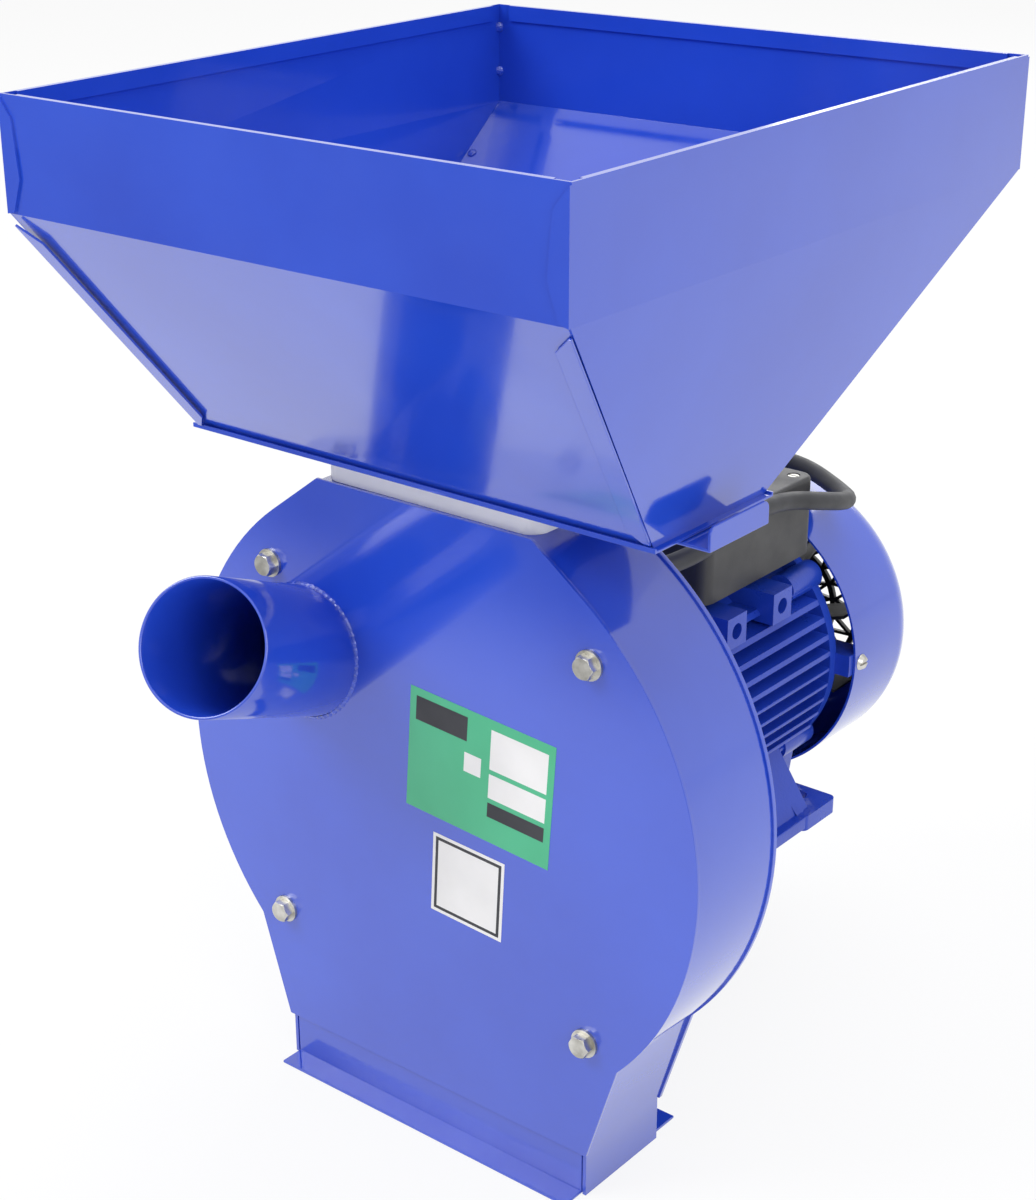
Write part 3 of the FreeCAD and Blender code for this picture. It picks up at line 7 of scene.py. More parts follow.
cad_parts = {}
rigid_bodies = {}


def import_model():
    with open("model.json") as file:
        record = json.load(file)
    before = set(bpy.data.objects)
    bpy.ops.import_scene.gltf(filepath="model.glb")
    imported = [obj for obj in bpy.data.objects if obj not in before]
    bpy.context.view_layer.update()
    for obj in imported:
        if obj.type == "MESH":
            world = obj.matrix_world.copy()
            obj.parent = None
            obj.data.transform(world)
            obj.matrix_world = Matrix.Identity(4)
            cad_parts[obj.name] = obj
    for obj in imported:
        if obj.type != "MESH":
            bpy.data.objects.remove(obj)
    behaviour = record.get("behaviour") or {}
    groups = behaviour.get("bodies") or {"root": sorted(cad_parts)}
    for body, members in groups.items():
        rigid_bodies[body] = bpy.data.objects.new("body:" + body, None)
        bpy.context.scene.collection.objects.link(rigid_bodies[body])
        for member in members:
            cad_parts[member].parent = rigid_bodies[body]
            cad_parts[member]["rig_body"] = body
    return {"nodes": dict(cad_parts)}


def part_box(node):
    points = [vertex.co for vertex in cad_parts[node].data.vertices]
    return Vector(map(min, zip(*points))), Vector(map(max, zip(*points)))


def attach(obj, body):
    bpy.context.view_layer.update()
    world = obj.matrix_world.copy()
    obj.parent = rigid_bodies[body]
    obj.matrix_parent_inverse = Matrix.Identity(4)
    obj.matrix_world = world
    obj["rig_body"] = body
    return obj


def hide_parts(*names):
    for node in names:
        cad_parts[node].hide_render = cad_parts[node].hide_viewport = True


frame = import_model()
# Blender's start-up objects go first, because they would count in the boxes
for old in ("Cube", "Light", "Camera"):
    if old in bpy.data.objects:
        bpy.data.objects.remove(bpy.data.objects[old])
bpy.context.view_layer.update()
scene = bpy.context.scene
nodes = frame["nodes"]
print("frame loaded:", len(nodes), "nodes")

# Camera of the photograph, lengths in metres and angles in degrees
camera = {
    "focal": 2184.6,             # pixels of the 1036 x 1200 frame
    "centre": (433.3, 595.8),    # pixel that the lens looks straight at
    "frame": (1036, 1200),
    "place": (0.6060, -0.8693, 0.5649),
    "azimuth": 41.0,
    "elevation": 22.6,
    "roll": -1.0,
    "sensor": 36,
    "clip": (0.02, 60),
}


def placeCamera(view):
    a, e, r = (math.radians(view[k]) for k in ("azimuth", "elevation", "roll"))
    back = Vector((math.sin(a) * math.cos(e), -math.cos(a) * math.cos(e), math.sin(e)))
    right = (-back).cross(Vector((0, 0, 1))).normalized()
    up = right.cross(-back)
    across = right * math.cos(r) + up * math.sin(r)
    upward = up * math.cos(r) - right * math.sin(r)
    data = bpy.data.cameras.new("photoCamera")
    obj = bpy.data.objects.new("photoCamera", data)
    scene.collection.objects.link(obj)
    turn = Matrix((across, upward, back)).transposed().to_4x4()
    obj.matrix_world = Matrix.Translation(view["place"]) @ turn
    wide, high = view["frame"]
    data.sensor_width = view["sensor"]
    data.lens = view["focal"] / high * view["sensor"]
    data.shift_x = (wide / 2 - view["centre"][0]) / high
    data.shift_y = (view["centre"][1] - high / 2) / high
    data.clip_start, data.clip_end = view["clip"]
    scene.camera = obj


placeCamera(camera)
print("camera placed")

# Supply cord: from the gland round the switch box, down, and into a coil with the plug
cord = {
    "thick": 0.0095,
    "route": [
        (-0.030, -0.049, 0.166), (-0.0292, -0.0718, 0.1665), (-0.0171, -0.0911, 0.168),
        (0.003, -0.1018, 0.170), (0.029, -0.1009, 0.173), (0.053, -0.088, 0.177),
        (0.066, -0.064, 0.181), (0.067, -0.035, 0.1845), (0.063, -0.005, 0.187),
        (0.063, 0.027, 0.184), (0.0695, 0.054, 0.177), (0.070, 0.080, 0.1695),
        (0.050, 0.104, 0.164), (0.022, 0.114, 0.1695), (-0.006, 0.116, 0.1695),
        (-0.034, 0.110, 0.165), (-0.062, 0.103, 0.148), (-0.085, 0.096, 0.121),
        (-0.098, 0.090, 0.087), (-0.103, 0.087, 0.048), (-0.104, 0.086, 0.008),
        (-0.102, 0.082, -0.030), (-0.099, 0.074, -0.062), (-0.0945, 0.059, -0.0865),
        (-0.091, 0.0365, -0.099), (-0.091, 0.0135, -0.099)],
    "coilCentre": (-0.141, 0.004),
    "coilRadius": 0.050,
    "coilTurns": 3.5,
    "coilPitch": 0.0103,     # from turn to turn
    "layer": 0.0102,         # height of the upper turns over the lower ones
    "floor": -0.104,
    "floorGap": 0.00025,
    "plugLift": 0.0041,      # the plug is thicker than the cord
    "plugRun": 0.0095,       # last straight piece, inside the plug
    "pointsPerTurn": 16,
}


def ease(share):
    share = min(1.0, max(0.0, share))
    return share * share * (3 - 2 * share)


def coilPoint(angle):
    # the lower turns wind in, then the cord climbs and the upper turns wind out
    quarter = math.pi / 2
    total = 2 * math.pi * cord["coilTurns"]
    rate = cord["coilPitch"] / (2 * math.pi)
    away = angle - total / 2
    fromMiddle = abs(away)
    if fromMiddle <= quarter:
        fromMiddle = (away * away + quarter * quarter) / (2 * quarter)
    radius = cord["coilRadius"] - rate * (total / 2 - fromMiddle)
    z = cord["floor"] + cord["thick"] / 2 + cord["floorGap"]
    z += cord["layer"] * ease(0.5 + away / math.pi)
    z += cord["plugLift"] * ease((angle - total + quarter) / quarter)
    x, y = cord["coilCentre"]
    return (x + radius * math.cos(-angle), y + radius * math.sin(-angle), z)


def makeCord():
    turns = cord["coilTurns"]
    count = int(cord["pointsPerTurn"] * turns)
    coil = [coilPoint(2 * math.pi * turns * k / count) for k in range(count + 1)]
    x, y, z = coil[-1]
    points = cord["route"] + coil + [(x, y + cord["plugRun"], z)]
    data = bpy.data.curves.new("supplyCord", "CURVE")
    data.dimensions = "3D"
    spline = data.splines.new("NURBS")
    spline.points.add(len(points) - 1)
    for point, place in zip(spline.points, points):
        point.co = (*place, 1)
        point.radius = cord["thick"] / 2    # the bevel is 1 m, so this is the real radius
    spline.order_u = 3
    spline.use_endpoint_u = True
    spline.resolution_u = 6
    data.bevel_depth = 1
    data.bevel_resolution = 5
    data.use_fill_caps = True
    obj = bpy.data.objects.new("supplyCord", data)
    scene.collection.objects.link(obj)
    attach(obj, "housing")
    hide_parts("power_cord", "cord_coil")
    return obj


supplyCord = makeCord()
print("cord laid")

# Finishes: two tones that wander over patches of the surface, a range of roughness, and a
# fine grain as relief. Patch and grain are noise scales, depth is in metres
finishes = {
    "blueEnamel": {"dark": (0.014, 0.058, 0.515), "light": (0.020, 0.076, 0.595),
                   "rough": (0.08, 0.17), "patch": 9, "grain": 420, "bump": 0.10,
                   "depth": 0.0002, "specular": 0.9, "coat": 0.7},
    "castEnamel": {"dark": (0.012, 0.046, 0.42), "light": (0.018, 0.066, 0.52),
                   "rough": (0.24, 0.40), "patch": 14, "grain": 600, "bump": 0.25,
                   "depth": 0.0004, "specular": 0.45, "coat": 0.15},
    "weldedPaint": {"dark": (0.010, 0.045, 0.42), "light": (0.018, 0.068, 0.58),
                    "rough": (0.14, 0.34), "patch": 220, "grain": 500, "bump": 0.7,
                    "depth": 0.0012, "specular": 0.7, "coat": 0.5},
    "zincPlate": {"dark": (0.42, 0.41, 0.37), "light": (0.70, 0.69, 0.65),
                  "rough": (0.26, 0.42), "patch": 160, "grain": 900, "bump": 0.12,
                  "depth": 0.0002, "metal": 1.0},
    "bareSteel": {"dark": (0.30, 0.30, 0.31), "light": (0.48, 0.48, 0.49),
                  "rough": (0.28, 0.46), "patch": 60, "grain": 1200, "bump": 0.15,
                  "depth": 0.0002, "metal": 1.0},
    "screenSteel": {"dark": (0.42, 0.42, 0.43), "light": (0.58, 0.58, 0.59),
                    "rough": (0.22, 0.38), "patch": 40, "grain": 900, "bump": 0.08,
                    "depth": 0.0002, "metal": 1.0},
    "lamination": {"dark": (0.16, 0.16, 0.17), "light": (0.30, 0.30, 0.31),
                   "rough": (0.36, 0.55), "patch": 50, "grain": 1400, "bump": 0.3,
                   "depth": 0.0002, "metal": 1.0},
    "canAluminium": {"dark": (0.62, 0.62, 0.63), "light": (0.76, 0.76, 0.77),
                     "rough": (0.25, 0.38), "patch": 40, "grain": 900, "bump": 0.06,
                     "depth": 0.0002, "metal": 1.0},
    "copperWire": {"dark": (0.35, 0.10, 0.03), "light": (0.62, 0.22, 0.08),
                   "rough": (0.22, 0.40), "patch": 120, "grain": 700, "bump": 0.7,
                   "depth": 0.0008, "metal": 0.9},
    "washedBrass": {"dark": (0.60, 0.52, 0.32), "light": (0.78, 0.70, 0.46),
                    "rough": (0.20, 0.32), "patch": 60, "grain": 900, "bump": 0.06,
                    "depth": 0.0002, "metal": 1.0},
    "milkyPlastic": {"dark": (0.86, 0.86, 0.86), "light": (0.93, 0.93, 0.92),
                     "rough": (0.34, 0.46), "patch": 20, "grain": 700, "bump": 0.08,
                     "depth": 0.0002, "soft": 0.25},
    "creamPlastic": {"dark": (0.60, 0.57, 0.48), "light": (0.70, 0.67, 0.58),
                     "rough": (0.36, 0.48), "patch": 30, "grain": 900, "bump": 0.08,
                     "depth": 0.0002},
    "blackPlastic": {"dark": (0.030, 0.030, 0.032), "light": (0.050, 0.050, 0.052),
                     "rough": (0.34, 0.50), "patch": 30, "grain": 1500, "bump": 0.30,
                     "depth": 0.0002},
    "redPlastic": {"dark": (0.42, 0.012, 0.012), "light": (0.52, 0.02, 0.018),
                   "rough": (0.20, 0.30), "patch": 30, "grain": 900, "bump": 0.05,
                   "depth": 0.0001},
    "cordRubber": {"dark": (0.030, 0.031, 0.034), "light": (0.052, 0.053, 0.057),
                   "rough": (0.46, 0.62), "patch": 50, "grain": 1300, "bump": 0.20,
                   "depth": 0.0002},
    "gasketRubber": {"dark": (0.020, 0.020, 0.020), "light": (0.040, 0.040, 0.040),
                     "rough": (0.6, 0.8), "patch": 50, "grain": 900, "bump": 0.2,
                     "depth": 0.0002},
    "greenPaper": {"dark": (0.045, 0.42, 0.21), "light": (0.055, 0.46, 0.235),
                   "rough": (0.30, 0.40), "patch": 30, "grain": 800, "bump": 0.04,
                   "depth": 0.0001, "coat": 0.3},
    "whitePaper": {"dark": (0.74, 0.73, 0.72), "light": (0.82, 0.81, 0.80),
                   "rough": (0.32, 0.42), "patch": 30, "grain": 800, "bump": 0.04,
                   "depth": 0.0001, "coat": 0.2},
    "printBlack": {"dark": (0.02, 0.022, 0.03), "light": (0.035, 0.036, 0.045),
                   "rough": (0.32, 0.44), "patch": 40, "grain": 900, "bump": 0.04,
                   "depth": 0.0001},
}
# What all finishes share
surface = {
    "toneStops": (0.32, 0.68),    # where the noise turns from the dark to the light tone
    "sheenStops": (0.3, 0.7),
    "sheenFiner": 2.3,            # roughness wanders in smaller patches than colour
    "coatRough": 0.06,
    "softRadius": (0.004, 0.004, 0.004),
}


def mixFinish(name):
    look = finishes[name]
    material = bpy.data.materials.new(name)
    material.use_nodes = True
    tree = material.node_tree
    shader = tree.nodes["Principled BSDF"]
    place = tree.nodes.new("ShaderNodeTexCoord")

    def noise(scale, detail):
        node = tree.nodes.new("ShaderNodeTexNoise")
        node.inputs["Scale"].default_value = scale
        node.inputs["Detail"].default_value = detail
        tree.links.new(place.outputs["Object"], node.inputs["Vector"])
        return node.outputs["Fac"]

    tones = tree.nodes.new("ShaderNodeValToRGB")
    for stop, at, tone in zip(tones.color_ramp.elements, surface["toneStops"], ("dark", "light")):
        stop.position = at
        stop.color = (*look[tone], 1)
    tree.links.new(noise(look["patch"], 4), tones.inputs["Fac"])
    tree.links.new(tones.outputs["Color"], shader.inputs["Base Color"])
    sheen = tree.nodes.new("ShaderNodeMapRange")
    for socket, value in zip(("From Min", "From Max", "To Min", "To Max"),
                             (*surface["sheenStops"], *look["rough"])):
        sheen.inputs[socket].default_value = value
    tree.links.new(noise(look["patch"] * surface["sheenFiner"], 6), sheen.inputs["Value"])
    tree.links.new(sheen.outputs["Result"], shader.inputs["Roughness"])
    relief = tree.nodes.new("ShaderNodeBump")
    relief.inputs["Strength"].default_value = look["bump"]
    relief.inputs["Distance"].default_value = look["depth"]
    tree.links.new(noise(look["grain"], 2), relief.inputs["Height"])
    tree.links.new(relief.outputs["Normal"], shader.inputs["Normal"])
    shader.inputs["Metallic"].default_value = look.get("metal", 0.0)
    shader.inputs["Specular IOR Level"].default_value = look.get("specular", 0.5)
    shader.inputs["Coat Weight"].default_value = look.get("coat", 0.0)
    shader.inputs["Coat Roughness"].default_value = surface["coatRough"]
    if "soft" in look:
        shader.inputs["Subsurface Weight"].default_value = look["soft"]
        shader.inputs["Subsurface Radius"].default_value = surface["softRadius"]
        shader.inputs["Subsurface Scale"].default_value = 1.0
    return material


materials = {name: mixFinish(name) for name in finishes}
supplyCord.data.materials.append(materials["cordRubber"])
print("finishes mixed:", len(materials))


def addPiece(name, bm, finish, body="housing", stands=(), sharpOver=32):
    mesh = bpy.data.meshes.new(name)
    bmesh.ops.recalc_face_normals(bm, faces=bm.faces)
    bm.to_mesh(mesh)
    bm.free()
    for face in mesh.polygons:
        face.use_smooth = True
    mesh.set_sharp_from_angle(angle=math.radians(sharpOver))
    obj = bpy.data.objects.new(name, mesh)
    scene.collection.objects.link(obj)
    mesh.materials.append(materials[finish])
    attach(obj, body)
    if stands:
        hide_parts(*stands)
    return obj


# Rounded edges: angles in degrees, distances in metres, tinyFace in square metres
edgeLook = {"segments": 2, "roundOver": 38, "crispOver": 34,
            "merge": 4e-6, "sliver": 2e-6, "tinyFace": 1e-10}
rounded = []


def edgeRound(obj, width):
    bevel = obj.modifiers.new("edgeRound", "BEVEL")
    bevel.width = width
    bevel.segments = edgeLook["segments"]
    bevel.limit_method = "ANGLE"
    bevel.angle_limit = math.radians(edgeLook["roundOver"])
    bevel.use_clamp_overlap = True
    rounded.append(obj)


def settleEdges():
    # the rounded edges become mesh, so that folds too short to round stay crisp
    crisp = math.cos(math.radians(edgeLook["crispOver"]))
    bpy.context.view_layer.update()
    graph = bpy.context.evaluated_depsgraph_get()
    meshes = [bpy.data.meshes.new_from_object(obj.evaluated_get(graph)) for obj in rounded]
    for obj, mesh in zip(rounded, meshes):
        bm = bmesh.new()
        bm.from_mesh(mesh)
        bmesh.ops.remove_doubles(bm, verts=bm.verts, dist=edgeLook["merge"])
        bmesh.ops.dissolve_degenerate(bm, dist=edgeLook["sliver"], edges=bm.edges)
        bm.normal_update()
        for face in bm.faces:
            face.smooth = True
        for edge in bm.edges:
            facing = [face.normal for face in edge.link_faces
                      if face.calc_area() > edgeLook["tinyFace"]]
            edge.smooth = all(one.dot(two) > crisp for one in facing for two in facing)
        bm.to_mesh(mesh)
        bm.free()
        obj.modifiers.clear()
        mesh.name = obj.name
        obj.data = mesh
        normals = obj.modifiers.new("evenNormals", "WEIGHTED_NORMAL")
        normals.keep_sharp = True


# Pieces dressed from their own CAD solids: node -> (piece, finish, slot, edge radius in mm)
dressed = {
    "drum_shell": ("drumShell", "blueEnamel", "blue_enamel", 0.5),
    "drum_back_plate": ("drumBackPlate", "blueEnamel", "blue_enamel", 0.6),
    "cover_posts": ("coverPosts", "zincPlate", "zinc", 0.4),
    "front_cover": ("frontCover", "blueEnamel", "blue_enamel", 0.8),
    "cover_bolts": ("coverBolts", "zincPlate", "zinc", 0.35),
    "chute_front_wall": ("chuteFrontWall", "blueEnamel", "blue_enamel", 0.5),
    "chute_back_wall": ("chuteBackWall", "blueEnamel", "blue_enamel", 0.5),
    "hopper_front_panel": ("hopperFrontPanel", "blueEnamel", "blue_enamel", 0.45),
    "hopper_back_panel": ("hopperBackPanel", "blueEnamel", "blue_enamel", 0.45),
    "hopper_left_panel": ("hopperLeftPanel", "blueEnamel", "blue_enamel", 0.45),
    "hopper_right_panel": ("hopperRightPanel", "blueEnamel", "blue_enamel", 0.45),
    "hopper_base": ("hopperBase", "blueEnamel", "blue_enamel", 0.4),
    "hopper_screws": ("hopperScrews", "zincPlate", "zinc", 0.3),
    "inlet_collar": ("inletCollar", "milkyPlastic", "white_plastic", 1.0),
    "slide_gate": ("slideGate", "blueEnamel", "blue_enamel", 0.5),
    "screen": ("millingScreen", "screenSteel", "screen_steel", 0.0),
    "screen_ledges": ("screenLedges", "bareSteel", "bare_steel", 0.4),
    "rotor_front_disc": ("rotorFrontDisc", "bareSteel", "bare_steel", 0.4),
    "rotor_back_disc": ("rotorBackDisc", "bareSteel", "bare_steel", 0.4),
    "rotor_hub": ("rotorHub", "bareSteel", "bare_steel", 0.8),
    "hammer_pins": ("hammerPins", "bareSteel", "bare_steel", 0.4),
    "hammer_spacers": ("hammerSpacers", "zincPlate", "zinc", 0.2),
    "hammers_top_right": ("hammersTopRight", "bareSteel", "bare_steel", 0.4),
    "hammers_top_left": ("hammersTopLeft", "bareSteel", "bare_steel", 0.4),
    "hammers_bottom_left": ("hammersBottomLeft", "bareSteel", "bare_steel", 0.4),
    "hammers_bottom_right": ("hammersBottomRight", "bareSteel", "bare_steel", 0.4),
    "motor_shaft": ("motorShaft", "bareSteel", "bare_steel", 0.5),
    "shaft_key": ("shaftKey", "bareSteel", "bare_steel", 0.3),
    "rotor_nut_and_washer": ("rotorNutAndWasher", "zincPlate", "zinc", 0.5),
    "rotor_core": ("rotorCore", "lamination", "lamination", 0.3),
    "shaft_seal": ("shaftSeal", "gasketRubber", "gasket_rubber", 0.3),
    "front_bearing": ("frontBearing", "bareSteel", "bare_steel", 0.4),
    "rear_bearing": ("rearBearing", "bareSteel", "bare_steel", 0.4),
    "front_end_shield": ("frontEndShield", "castEnamel", "blue_enamel", 0.8),
    "rear_end_shield": ("rearEndShield", "castEnamel", "blue_enamel", 0.6),
    "shield_screws": ("shieldScrews", "zincPlate", "zinc", 0.3),
    "motor_mount_screws": ("motorMountScrews", "zincPlate", "zinc", 0.3),
    "motor_frame": ("motorFrame", "castEnamel", "blue_enamel", 0.5),
    "stator_core": ("statorCore", "lamination", "lamination", 0.3),
    "stator_windings": ("statorWindings", "copperWire", "copper_enamel", 1.2),
    "fan_cowl": ("fanCowl", "blueEnamel", "blue_enamel", 0.4),
    "cowl_screws": ("cowlScrews", "zincPlate", "zinc", 0.25),
    "switch_box": ("switchBox", "blackPlastic", "black_plastic", 0.5),
    "switch_box_lid": ("switchBoxLid", "blackPlastic", "black_plastic", 0.4),
    "box_gasket": ("boxGasket", "gasketRubber", "gasket_rubber", 0.15),
    "lid_screws": ("lidScrews", "zincPlate", "zinc", 0.15),
    "switch_bezel": ("switchBezel", "blackPlastic", "black_plastic", 0.5),
    "rocker_button": ("rockerButton", "redPlastic", "button_red", 0.4),
    "breaker_body": ("breakerBody", "blackPlastic", "black_plastic", 0.4),
    "reset_button": ("resetButton", "redPlastic", "button_red", 0.3),
    "run_capacitor": ("runCapacitor", "canAluminium", "capacitor_can", 1.5),
    "terminal_block": ("terminalBlock", "creamPlastic", "terminal_plastic", 0.6),
    "cord_gland": ("cordGland", "blackPlastic", "black_plastic", 0.5),
    "plug_pins": ("plugPins", "washedBrass", "pin_brass", 0.2),
}
dressing = {"merge": 2e-6, "flatUnder": 0.6, "lipTop": 0.2414}


def allOf(bm):
    return bm.verts[:] + bm.edges[:] + bm.faces[:]


def cutEdges(cut):
    return [e for e in cut["geom_cut"] if isinstance(e, bmesh.types.BMEdge)]


def dress(node):
    name, finish, slot, edge = dressed[node]
    bm = bmesh.new()
    bm.from_mesh(nodes[node].data)
    bmesh.ops.remove_doubles(bm, verts=bm.verts, dist=dressing["merge"])
    bmesh.ops.dissolve_limit(bm, angle_limit=math.radians(dressing["flatUnder"]),
                             verts=bm.verts, edges=bm.edges)
    if node == "hopper_base":
        # the tray's lips are left low, so that a dark groove shows under the funnel
        cut = bmesh.ops.bisect_plane(bm, geom=allOf(bm), plane_co=(0, 0, dressing["lipTop"]),
                                     plane_no=(0, 0, 1), clear_outer=True)
        bmesh.ops.holes_fill(bm, edges=cutEdges(cut))
    obj = addPiece(name, bm, finish, nodes[node]["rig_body"], (node,))
    if edge > 0:
        edgeRound(obj, edge / 1000)


for node in dressed:
    dress(node)
print("solids dressed:", len(dressed))


def ringsToMesh(bm, rings, closeEnds=False):
    # skin over rings of points; closeEnds joins the last ring to the first
    grid = [[bm.verts.new(p) for p in ring] for ring in rings]
    pairs = list(zip(grid, grid[1:])) + ([(grid[-1], grid[0])] if closeEnds else [])
    count = len(grid[0])
    for one, two in pairs:
        for k in range(count):
            n = (k + 1) % count
            bm.faces.new((one[k], one[n], two[n], two[k]))
    return grid


def solidFromRings(bm, rings):
    grid = ringsToMesh(bm, rings)
    bm.faces.new(grid[0])
    bm.faces.new(list(reversed(grid[-1])))


def circle(centre, radius, along, steps=72):
    # round a line along Y through centre
    x, y, z = centre
    turns = [2 * math.pi * k / steps for k in range(steps)]
    return [Vector((x + radius * math.cos(a), y + along, z + radius * math.sin(a)))
            for a in turns]


# Feed pipe, with its square-cut rim and the weld round its root
feedPipe = {
    "outer": 0.03175, "inner": 0.03025, "reach": 0.095, "turn": 17.9, "tilt": 23.4,
    "root": (-0.07503, -0.181, 0.13503), "steps": 96, "rim": 0.0004,
    "weld": 0.0013, "weldSteps": 360, "ripple": 0.00025, "ripples": 58, "swell": 3,
    # section of the weld, outward and forward, as shares of its size
    "weldShape": [(-0.4, -0.15), (-0.1, 1.0), (0.5, 0.8), (1.0, 0.35), (1.25, -0.15)],
}


def pipeBasis(pipe):
    turn, tilt = math.radians(pipe["turn"]), math.radians(pipe["tilt"])
    level = math.cos(tilt)
    axis = Vector((math.sin(turn) * level, -math.cos(turn) * level, math.sin(tilt)))
    side = axis.cross(Vector((0, 0, 1))).normalized()
    return Vector(pipe["root"]), axis, side, side.cross(axis)


def makeFeedPipe(pipe):
    root, axis, side, rise = pipeBasis(pipe)
    length = pipe["reach"] / -axis.y

    def ring(radius, along=None):
        # without a distance, the ring lies where the pipe meets the cover
        points = []
        for k in range(pipe["steps"]):
            a = 2 * math.pi * k / pipe["steps"]
            spoke = (side * math.cos(a) + rise * math.sin(a)) * radius
            points.append(root + spoke + axis * (along if along is not None else -spoke.y / axis.y))
        return points

    outer, inner, rim = pipe["outer"], pipe["inner"], pipe["rim"]
    bm = bmesh.new()
    ringsToMesh(bm, [ring(outer), ring(outer, length - rim), ring(outer - rim, length),
                     ring(inner + rim, length), ring(inner, length - rim), ring(inner)],
                closeEnds=True)
    addPiece("feedPipe", bm, "blueEnamel", stands=("feed_pipe",),
             sharpOver=50)

    bm = bmesh.new()
    rings = []
    front = Vector((0, -1, 0))
    for k in range(pipe["weldSteps"]):
        a = 2 * math.pi * k / pipe["weldSteps"]
        spoke = (side * math.cos(a) + rise * math.sin(a)) * outer
        foot = root + spoke - axis * (spoke.y / axis.y)
        out = Vector((foot.x - root.x, 0, foot.z - root.z)).normalized()
        wave = math.sin(a * pipe["ripples"]) * math.cos(a * pipe["swell"])
        fat = pipe["weld"] + pipe["ripple"] * wave
        rings.append([foot + out * (fat * u) + front * (fat * v) for u, v in pipe["weldShape"]])
    ringsToMesh(bm, rings, closeEnds=True)
    addPiece("feedPipeWeld", bm, "weldedPaint", sharpOver=60)


makeFeedPipe(feedPipe)
print("feed pipe welded")

# Two stickers on the cover: plain fields with blank blocks, and nothing printed.
# Centres are measured from the shaft, blocks are (x, z, width, height, finish)
coverFace = -0.181
axisHeight = 0.080
greenLabel = {"centre": (0.0334, 0.0220), "size": (0.0855, 0.0637), "turn": -4.2,
              "thick": 0.00012, "inkThick": 0.00004,
              "blocks": [(-0.0235, 0.0215, 0.031, 0.0125, "printBlack"),
                         (0.0225, 0.0165, 0.033, 0.0205, "whitePaper"),
                         (0.0225, -0.0025, 0.033, 0.0125, "whitePaper"),
                         (-0.004, 0.0045, 0.010, 0.010, "whitePaper"),
                         (0.0225, -0.0150, 0.033, 0.0075, "printBlack")]}
whiteLabel = {"centre": (0.0257, -0.0390), "size": (0.0433, 0.0428), "turn": -3.3,
              "thick": 0.00012, "inkThick": 0.00004, "border": 0.0016, "inset": 0.0017}


def slab(bm, label, x, z, wide, high, low, top):
    turn = math.radians(label["turn"])
    cx, cz = label["centre"]
    corners = []
    for sx, sz in ((-1, -1), (1, -1), (1, 1), (-1, 1)):
        u, v = x + sx * wide / 2, z + sz * high / 2
        corners.append((cx + u * math.cos(turn) - v * math.sin(turn),
                        axisHeight + cz + u * math.sin(turn) + v * math.cos(turn)))
    solidFromRings(bm, [[(a, coverFace - level, b) for a, b in corners] for level in (low, top)])


def makeGreenLabel(label):
    thick, ink = label["thick"], label["inkThick"]
    bm = bmesh.new()
    slab(bm, label, 0, 0, *label["size"], 0, thick)
    addPiece("greenLabel", bm, "greenPaper")
    for finish, name in (("printBlack", "greenLabelDarkBlocks"),
                         ("whitePaper", "greenLabelPaleBlocks")):
        bm = bmesh.new()
        for x, z, wide, high, kind in label["blocks"]:
            if kind == finish:
                slab(bm, label, x, z, wide, high, thick, thick + ink)
        addPiece(name, bm, finish)


def makeWhiteLabel(label):
    thick, ink, line = label["thick"], label["inkThick"], label["border"]
    wide, high = label["size"]
    bm = bmesh.new()
    slab(bm, label, 0, 0, wide, high, 0, thick)
    addPiece("whiteLabel", bm, "whitePaper")
    bm = bmesh.new()
    w, h = wide - 2 * label["inset"], high - 2 * label["inset"]
    for x, z, a, b in ((0, (h - line) / 2, w, line), (0, (line - h) / 2, w, line),
                       ((w - line) / 2, 0, line, h - 2 * line),
                       ((line - w) / 2, 0, line, h - 2 * line)):
        slab(bm, label, x, z, a, b, thick, thick + ink)
    addPiece("whiteLabelBorder", bm, "printBlack")


makeGreenLabel(greenLabel)
makeWhiteLabel(whiteLabel)
print("labels stuck on")

# Spot welds inside the hopper's back left corner: place and the way each one faces
spotWelds = {"radius": 0.0026, "height": 0.0009,
             "places": [((-0.1518, 0.0650, 0.3950), (0.7, -0.7, 0)),
                        ((-0.1518, 0.0650, 0.3720), (0.7, -0.7, 0)),
                        ((-0.1448, 0.0322, 0.3337), (0, -0.55, 0.83))]}


def makeSpotWelds(weld):
    bm = bmesh.new()
    flatten = Matrix.Diagonal((1, 1, weld["height"] / weld["radius"], 1))
    for place, facing in weld["places"]:
        turn = Vector(facing).normalized().to_track_quat("Z", "Y").to_matrix().to_4x4()
        bmesh.ops.create_icosphere(bm, subdivisions=3, radius=weld["radius"],
                                   matrix=Matrix.Translation(place) @ turn @ flatten)
    addPiece("hopperSpotWelds", bm, "weldedPaint", sharpOver=60)


# Folded edges of the hopper: two flaps that lie on the front of the funnel
funnelTrim = {
    "crease": (0.154, -0.2732, 0.3545),     # upper right corner of the funnel's front
    "foot": (0.132, -0.1872, 0.2408),       # lower right corner
    "sheet": 0.0012, "width": 0.0105, "edge": 0.0003,
    # inner outline: share of the way down, and share of the width
    "outline": [(0.03, 0.16), (0.10, 1.0), (0.93, 1.0), (0.985, 0.35)],
    # side, gap under the flap, distance of its outer edge from the corner
    "flaps": {"hopperLeftFlap": (-1, 0.0014, 0.0014), "hopperRightFlap": (1, 0.00015, 0.0003)},
}


